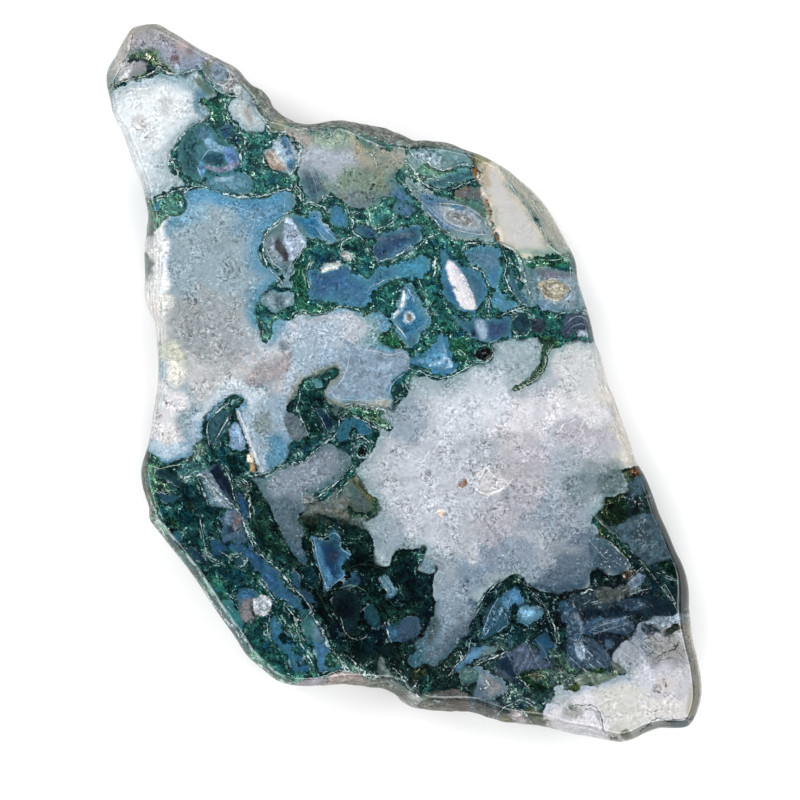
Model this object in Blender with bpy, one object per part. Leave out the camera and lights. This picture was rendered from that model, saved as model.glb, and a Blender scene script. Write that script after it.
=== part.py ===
"""A polished slab of moss agate, lying on its sawn back with its polished face up.

One solid, in metres, +Z up. The origin is the middle of the slab's outline, on the back face.
Run it with: blender --background --python part.py
"""

import math

import bmesh
import bpy
import numpy as np
from mathutils import Matrix, Vector, noise

# Driving dimensions, in metres. The slab is about 91 mm from tip to tip.
THICKNESS = 0.0100
WIDEST_HEIGHT = 0.0042
BACK_INSET = 0.0011
RIND_LUMP = 0.00024
RIND_LUMP_LENGTH = 0.0031
RIND_GRIT = 0.00010
RIND_GRIT_LENGTH = 0.0012

# The outline and the pits are drawn on a sheet in tenths of a millimetre, x to the right and y down.
TENTH = 0.0001
SHEET_MIDDLE = (404, 383)

# Each row is x, y, the width of the rim outside the flat face, and how far the side there is natural
# rind (1) and not ground smooth (0). The rows run clockwise from the upper left tip.
OUTLINE = [
    (131, 29, 3, 0.3), (140, 25, 5, 0.5), (155, 24, 6, 0.5), (165, 28, 6, 0.4), (182, 38, 5, 0.3),
    (200, 49, 5, 0.2), (222, 60, 6, 0.3), (236, 68, 7, 0.5), (248, 81, 9, 0.8), (262, 90, 15, 1.0),
    (268, 98, 17, 1.0), (273, 109, 14, 1.0), (284, 117, 9, 1.0), (297, 123, 6, 1.0), (308, 125, 6, 1.0),
    (322, 123, 8, 1.0), (338, 120, 9, 1.0), (355, 122, 12, 1.0), (372, 125, 17, 1.0), (388, 128, 20, 1.0),
    (402, 134, 15, 1.0), (414, 141, 9, 1.0), (430, 141, 8, 1.0), (447, 143, 8, 0.9), (460, 148, 6, 0.7),
    (477, 153, 5, 0.4), (493, 161, 5, 0.1), (508, 170, 6, 0.0), (519, 179, 11, 0.0), (533, 191, 15, 0.0),
    (546, 206, 18, 0.0), (556, 222, 18, 0.0), (565, 239, 17, 0.0), (571, 250, 11, 0.0), (576, 263, 7, 0.0),
    (578, 280, 7, 0.1), (583, 296, 7, 0.1), (588, 312, 6, 0.2), (592, 327, 6, 0.3), (595, 341, 7, 0.2),
    (601, 355, 9, 0.1), (607, 380, 10, 0.1), (615, 400, 10, 0.1), (623, 422, 10, 0.1), (630, 441, 9, 0.2),
    (636, 460, 6, 0.3), (644, 474, 5, 0.2), (651, 490, 6, 0.1), (659, 512, 7, 0.1), (667, 530, 7, 0.1),
    (675, 549, 7, 0.1), (684, 568, 8, 0.1), (689, 588, 11, 0.1), (690, 612, 12, 0.2), (693, 640, 10, 0.3),
    (699, 665, 10, 0.3), (702, 690, 10, 0.3), (699, 710, 9, 0.4), (690, 725, 8, 0.5), (677, 728, 8, 0.6),
    (660, 728, 8, 0.6), (646, 733, 9, 0.6), (634, 739, 9, 0.6), (620, 742, 9, 0.5), (605, 740, 10, 0.4),
    (590, 737, 12, 0.5), (566, 733, 12, 0.6), (543, 727, 13, 0.7), (520, 725, 14, 0.9), (503, 722, 14, 1.0),
    (488, 717, 14, 1.0), (470, 712, 15, 1.0), (443, 712, 15, 1.0), (420, 709, 15, 1.0), (405, 703, 18, 1.0),
    (390, 692, 16, 1.0), (372, 687, 12, 1.0), (345, 685, 11, 0.9), (318, 686, 8, 0.7), (295, 685, 7, 0.4),
    (278, 681, 8, 0.2), (263, 670, 8, 0.0), (247, 656, 9, 0.0), (233, 635, 9, 0.0), (214, 608, 9, 0.0),
    (193, 576, 9, 0.0), (172, 549, 9, 0.0), (157, 530, 9, 0.1), (149, 519, 8, 0.4), (148, 507, 8, 0.8),
    (144, 496, 9, 0.8), (141, 482, 9, 0.7), (141, 467, 8, 0.5), (146, 451, 6, 0.3), (150, 434, 7, 0.1),
    (153, 412, 8, 0.0), (157, 387, 8, 0.0), (158, 365, 8, 0.0), (157, 342, 8, 0.1), (154, 322, 11, 0.2),
    (148, 308, 16, 0.3), (144, 295, 19, 0.4), (144, 275, 20, 0.4), (144, 252, 20, 0.4), (146, 228, 15, 0.4),
    (148, 214, 9, 0.4), (145, 198, 7, 0.3), (142, 184, 8, 0.2), (134, 165, 9, 0.1), (127, 146, 9, 0.1),
    (121, 130, 8, 0.1), (114, 117, 6, 0.2), (110, 100, 6, 0.3), (106, 82, 8, 0.3), (108, 67, 11, 0.3),
    (115, 56, 11, 0.3), (122, 43, 7, 0.3),
]

# The rim's section: how far in from the outline and how far below the face, as shares of its width.
RIM_SECTION = [(1.0, 0.0), (0.86, 0.07), (0.50, 0.46), (0.16, 0.92), (0.0, 1.35)]

# Open pits in the polished face: x, y, half length, half width, turn in degrees and depth.
PITS = {
    "east_druse": (556, 290, 14, 9, -12, 8),
    "eye_druse": (458, 218, 13, 6, -20, 6),
    "black_pit": (484, 353, 8, 5.5, 18, 11),
    "white_geode": (264, 606, 5, 4.5, 0, 5),
    "quartz_heart": (463, 483, 4.5, 4, 0, 6),
    "rusty_pit": (657, 689, 5, 4.5, 0, 6),
}

# How finely the solid is cut.
STATIONS = 240
CURVE_STEPS = 12
UNDER_RINGS = 3
PIT_SIDES = 14
PIT_LIFT = 0.00005
SHARP_ANGLE = math.radians(40)

STONE_COLOUR = (0.17, 0.27, 0.29, 1.0)
STONE_ROUGHNESS = 0.18
STONE_IOR = 1.54


def clear_scene():
    for obj in list(bpy.data.objects):
        bpy.data.objects.remove(obj)


def on_slab(x, y, z=0.0):
    """A point of the sheet, at a height in metres."""
    return Vector(((x - SHEET_MIDDLE[0]) * TENTH, (SHEET_MIDDLE[1] - y) * TENTH, z))


def curve_through(rows, steps):
    """A closed Catmull-Rom curve through the rows, with every column carried along."""
    here = np.array(rows, float)
    before, after, beyond = np.roll(here, 1, 0), np.roll(here, -1, 0), np.roll(here, -2, 0)
    cuts = []
    for t in np.arange(steps) / steps:
        straight = (after - before) * t
        bend = (2 * before - 5 * here + 4 * after - beyond) * t**2
        twist = (3 * here - before - 3 * after + beyond) * t**3
        cuts.append(here + 0.5 * (straight + bend + twist))
    return np.stack(cuts, 1).reshape(-1, here.shape[1])


def evenly(points, count):
    """The same closed curve at evenly spaced stations."""
    closed = np.vstack([points, points[:1]])
    run = np.concatenate([[0.0], np.cumsum(np.hypot(*np.diff(closed[:, :2], axis=0).T))])
    at = np.linspace(0.0, run[-1], count, endpoint=False)
    return np.stack([np.interp(at, run, column) for column in closed.T], 1)


def outward_directions(points):
    """Unit vectors out of a closed curve that runs clockwise, a little smoothed round the corners."""
    along = np.roll(points, -1, 0) - np.roll(points, 1, 0)
    out = np.stack([-along[:, 1], along[:, 0]], 1)
    out /= np.hypot(*out.T)[:, None]
    out = np.roll(out, 1, 0) + 2 * out + np.roll(out, -1, 0)
    return out / np.hypot(*out.T)[:, None]


def rind_bump(x, y, z):
    """How far natural rind stands out at a point: broad lumps with finer grit on them."""
    place = Vector((x, y, z))
    lump = noise.noise(place / RIND_LUMP_LENGTH)
    grit = noise.noise(place / RIND_GRIT_LENGTH)
    return RIND_LUMP * lump + RIND_GRIT * grit


def side_section(rim):
    """The side from the face's edge to the back's edge: (distance in, height, share of rind lumps)."""
    section = [(rim * inward, THICKNESS - rim * drop, min(1.0, 1.5 * drop)) for inward, drop in RIM_SECTION]
    section.append((0.0, WIDEST_HEIGHT, 1.0))
    for ring in range(1, UNDER_RINGS + 1):
        angle = 0.5 * math.pi * ring / UNDER_RINGS
        lumpy = 1.0 if ring < UNDER_RINGS else 0.0
        section.append((BACK_INSET * (1 - math.cos(angle)), WIDEST_HEIGHT * (1 - math.sin(angle)), lumpy))
    return section


def slab_mesh():
    """The slab as rings of vertices round its outline, closed by the flat face and the flat back."""
    stations = evenly(curve_through(OUTLINE, CURVE_STEPS), STATIONS)
    places = np.array([on_slab(x, y)[:2] for x, y in stations[:, :2]])
    outward = outward_directions(places)
    shape = bmesh.new()
    columns = []
    for (x, y), out, rim, rind in zip(places, outward, stations[:, 2] * TENTH, stations[:, 3]):
        column = []
        for inward, z, lumpy in side_section(rim):
            shift = rind * lumpy * rind_bump(x, y, z) - inward
            column.append(shape.verts.new((x + out[0] * shift, y + out[1] * shift, z)))
        columns.append(column)
    for left, right in zip(columns, columns[1:] + columns[:1]):
        for row in range(len(left) - 1):
            shape.faces.new((left[row], right[row], right[row + 1], left[row + 1]))
    shape.faces.new([column[0] for column in reversed(columns)])
    shape.faces.new([column[-1] for column in columns])
    bmesh.ops.recalc_face_normals(shape, faces=shape.faces)
    mesh = bpy.data.meshes.new("moss_agate")
    shape.to_mesh(mesh)
    shape.free()
    return mesh


def pit_cutter(name, x, y, half_length, half_width, turn, depth):
    """A squashed ball centred on the polished face, to cut one pit."""
    shape = bmesh.new()
    bmesh.ops.create_uvsphere(shape, u_segments=PIT_SIDES, v_segments=PIT_SIDES // 2, radius=1.0)
    squash = Matrix.Diagonal((half_length * TENTH, half_width * TENTH, depth * TENTH, 1.0))
    bmesh.ops.transform(shape, matrix=Matrix.Rotation(math.radians(turn), 4, "Z") @ squash, verts=shape.verts)
    mesh = bpy.data.meshes.new(name)
    shape.to_mesh(mesh)
    shape.free()
    cutter = bpy.data.objects.new(name, mesh)
    cutter.location = on_slab(x, y, THICKNESS + PIT_LIFT)
    cutter.hide_render = True
    cutter.display_type = "WIRE"
    bpy.context.collection.objects.link(cutter)
    return cutter


def stone_material():
    material = bpy.data.materials.new("polished_agate")
    material.use_nodes = True
    shader = material.node_tree.nodes["Principled BSDF"]
    shader.inputs["Base Color"].default_value = STONE_COLOUR
    shader.inputs["Roughness"].default_value = STONE_ROUGHNESS
    shader.inputs["Metallic"].default_value = 0.0
    shader.inputs["IOR"].default_value = STONE_IOR
    return material


def moss_agate():
    mesh = slab_mesh()
    mesh.materials.append(stone_material())
    mesh.shade_smooth()
    mesh.set_sharp_from_angle(angle=SHARP_ANGLE)
    slab = bpy.data.objects.new("moss_agate", mesh)
    bpy.context.collection.objects.link(slab)
    for name, pit in PITS.items():
        cut = slab.modifiers.new(name, "BOOLEAN")
        cut.operation = "DIFFERENCE"
        cut.solver = "EXACT"
        cut.object = pit_cutter(name, *pit)
    return slab


clear_scene()
moss_agate()
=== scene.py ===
"""A polished slab of moss agate on a pale floor, seen from straight above in soft studio light.

The stone is one dense mesh. Its markings are drawn as outlines on a sheet in tenths of a millimetre.
Each vertex stores how far it lies from the nearest outlines, and the material turns those distances
into walls, linings and fillings with crisp edges.
"""

import math

import bmesh
import bpy
import numpy as np
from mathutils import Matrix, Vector, noise
from mathutils.geometry import delaunay_2d_cdt


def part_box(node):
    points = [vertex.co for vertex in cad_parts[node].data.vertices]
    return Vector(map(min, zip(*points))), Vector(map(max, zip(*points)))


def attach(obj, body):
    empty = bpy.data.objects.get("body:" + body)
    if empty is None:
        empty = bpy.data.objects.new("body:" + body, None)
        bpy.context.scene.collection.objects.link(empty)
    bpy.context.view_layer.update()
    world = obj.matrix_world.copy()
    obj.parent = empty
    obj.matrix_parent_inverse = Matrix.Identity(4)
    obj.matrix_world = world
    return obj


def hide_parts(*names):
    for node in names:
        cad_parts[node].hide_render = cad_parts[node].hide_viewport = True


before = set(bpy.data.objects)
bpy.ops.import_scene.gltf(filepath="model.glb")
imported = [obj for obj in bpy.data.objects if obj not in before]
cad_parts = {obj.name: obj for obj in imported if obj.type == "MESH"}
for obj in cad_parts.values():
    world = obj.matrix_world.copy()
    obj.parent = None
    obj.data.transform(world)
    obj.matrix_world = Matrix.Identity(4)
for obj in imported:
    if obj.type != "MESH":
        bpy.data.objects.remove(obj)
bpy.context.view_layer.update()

# The sheet that the outlines are drawn on: tenths of a millimetre, x to the right and y down.
TENTH = 0.0001
SHEET_MIDDLE = (404, 383)

# The slab, in metres, as its solid has it.
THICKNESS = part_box("moss_agate")[1][2]
WIDEST_HEIGHT = 0.0042
BACK_INSET = 0.0011
RIND_LUMP = 0.00024
RIND_LUMP_LENGTH = 0.0031
RIND_GRIT = 0.00010
RIND_GRIT_LENGTH = 0.0012

# Each row is x, y, the width of the rim outside the flat face, and how far the side there is natural
# rind (1) and not ground smooth (0). The rows run clockwise from the upper left tip.
OUTLINE = [
    (131, 29, 3, 0.3), (140, 25, 5, 0.5), (155, 24, 6, 0.5), (165, 28, 6, 0.4), (182, 38, 5, 0.3),
    (200, 49, 5, 0.2), (222, 60, 6, 0.3), (236, 68, 7, 0.5), (248, 81, 9, 0.8), (262, 90, 15, 1.0),
    (268, 98, 17, 1.0), (273, 109, 14, 1.0), (284, 117, 9, 1.0), (297, 123, 6, 1.0), (308, 125, 6, 1.0),
    (322, 123, 8, 1.0), (338, 120, 9, 1.0), (355, 122, 12, 1.0), (372, 125, 17, 1.0), (388, 128, 20, 1.0),
    (402, 134, 15, 1.0), (414, 141, 9, 1.0), (430, 141, 8, 1.0), (447, 143, 8, 0.9), (460, 148, 6, 0.7),
    (477, 153, 5, 0.4), (493, 161, 5, 0.1), (508, 170, 6, 0.0), (519, 179, 11, 0.0), (533, 191, 15, 0.0),
    (546, 206, 18, 0.0), (556, 222, 18, 0.0), (565, 239, 17, 0.0), (571, 250, 11, 0.0), (576, 263, 7, 0.0),
    (578, 280, 7, 0.1), (583, 296, 7, 0.1), (588, 312, 6, 0.2), (592, 327, 6, 0.3), (595, 341, 7, 0.2),
    (601, 355, 9, 0.1), (607, 380, 10, 0.1), (615, 400, 10, 0.1), (623, 422, 10, 0.1), (630, 441, 9, 0.2),
    (636, 460, 6, 0.3), (644, 474, 5, 0.2), (651, 490, 6, 0.1), (659, 512, 7, 0.1), (667, 530, 7, 0.1),
    (675, 549, 7, 0.1), (684, 568, 8, 0.1), (689, 588, 11, 0.1), (690, 612, 12, 0.2), (693, 640, 10, 0.3),
    (699, 665, 10, 0.3), (702, 690, 10, 0.3), (699, 710, 9, 0.4), (690, 725, 8, 0.5), (677, 728, 8, 0.6),
    (660, 728, 8, 0.6), (646, 733, 9, 0.6), (634, 739, 9, 0.6), (620, 742, 9, 0.5), (605, 740, 10, 0.4),
    (590, 737, 12, 0.5), (566, 733, 12, 0.6), (543, 727, 13, 0.7), (520, 725, 14, 0.9), (503, 722, 14, 1.0),
    (488, 717, 14, 1.0), (470, 712, 15, 1.0), (443, 712, 15, 1.0), (420, 709, 15, 1.0), (405, 703, 18, 1.0),
    (390, 692, 16, 1.0), (372, 687, 12, 1.0), (345, 685, 11, 0.9), (318, 686, 8, 0.7), (295, 685, 7, 0.4),
    (278, 681, 8, 0.2), (263, 670, 8, 0.0), (247, 656, 9, 0.0), (233, 635, 9, 0.0), (214, 608, 9, 0.0),
    (193, 576, 9, 0.0), (172, 549, 9, 0.0), (157, 530, 9, 0.1), (149, 519, 8, 0.4), (148, 507, 8, 0.8),
    (144, 496, 9, 0.8), (141, 482, 9, 0.7), (141, 467, 8, 0.5), (146, 451, 6, 0.3), (150, 434, 7, 0.1),
    (153, 412, 8, 0.0), (157, 387, 8, 0.0), (158, 365, 8, 0.0), (157, 342, 8, 0.1), (154, 322, 11, 0.2),
    (148, 308, 16, 0.3), (144, 295, 19, 0.4), (144, 275, 20, 0.4), (144, 252, 20, 0.4), (146, 228, 15, 0.4),
    (148, 214, 9, 0.4), (145, 198, 7, 0.3), (142, 184, 8, 0.2), (134, 165, 9, 0.1), (127, 146, 9, 0.1),
    (121, 130, 8, 0.1), (114, 117, 6, 0.2), (110, 100, 6, 0.3), (106, 82, 8, 0.3), (108, 67, 11, 0.3),
    (115, 56, 11, 0.3), (122, 43, 7, 0.3),
]
RIM_SECTION = [(1.0, 0.0), (0.86, 0.07), (0.50, 0.46), (0.16, 0.92), (0.0, 1.35)]

# Open pits in the polished face: x, y, half length, half width, turn in degrees and depth.
PITS = {
    "east_druse": (556, 290, 14, 9, -12, 8),
    "eye_druse": (458, 218, 13, 6, -20, 6),
    "black_pit": (484, 353, 8, 5.5, 18, 11),
    "white_geode": (264, 606, 5, 4.5, 0, 5),
    "quartz_heart": (463, 483, 4.5, 4, 0, 6),
    "rusty_pit": (657, 689, 5, 4.5, 0, 6),
}

# How finely the stone is cut: spacings in tenths of a millimetre, and numbers of rings.
FACE_GRID = 2.0
BACK_GRID = 6.0
STATIONS = 1040
CURVE_STEPS = 12
CORNER_WINDOW = 13
RIM_CLEARANCE = 0.8
SAME_PLACE = 1e-5
LUMPS_BY_DROP = 1.5
RIM_RINGS = 9
WALL_RINGS = 7
UNDER_RINGS = 8

# The markings are drawn on the sheet and painted in order. A line that ends with a colon starts one
# outline, and the x y points up to the next such line belong to it:
#   agate, quartz, smoky: a cavity in the moss, with its colour in the middle and along its wall
#   moss: moss over what is there, with its colour          patch: a crisp spot of one colour
#   tint, shade: a soft colour over the fillings or the moss, with the softness of its edge and its share
#   wash: a ragged, soft colour over everything             grain: how grainy the filling is from here on
#   calm: how quiet the filling is from here on             druse: crystals with painted glints, with their share
#   rays: streaks that fan out from a centre                line: a line of one width and one colour
#   vein, crack, rust: pale, dark and brown lines of one width

# How the colour of the moss changes across the stone.
MOSS_TONES = """
shade #40686d 18 0.9:
150 80 270 80 280 190 150 200
shade #3c6466 16 0.8:
280 160 470 160 500 245 290 235
shade #264a50 16 1.0:
140 395 400 380 420 440 240 470 140 470
shade #21454b 16 1.0:
130 450 250 450 270 560 260 640 150 540
shade #1b3437 14 1.0:
240 480 330 500 420 480 420 560 280 570
shade #0c2126 16 1.0:
310 560 400 560 440 600 400 670 320 650 290 600
shade #163038 16 1.0:
400 560 560 570 560 640 440 650
shade #13252d 14 1.0:
540 570 660 560 660 640 560 650
shade #243a40 12 1.0:
610 470 690 460 700 620 650 620
shade #2b5458 14 1.0:
230 640 300 630 330 690 240 690
shade #203538 12 1.0:
330 655 480 650 480 710 340 690
shade #364d54 12 1.0:
480 650 560 650 560 730 480 720
shade #4e6364 10 1.0:
560 655 620 655 620 700 560 700
"""

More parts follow.
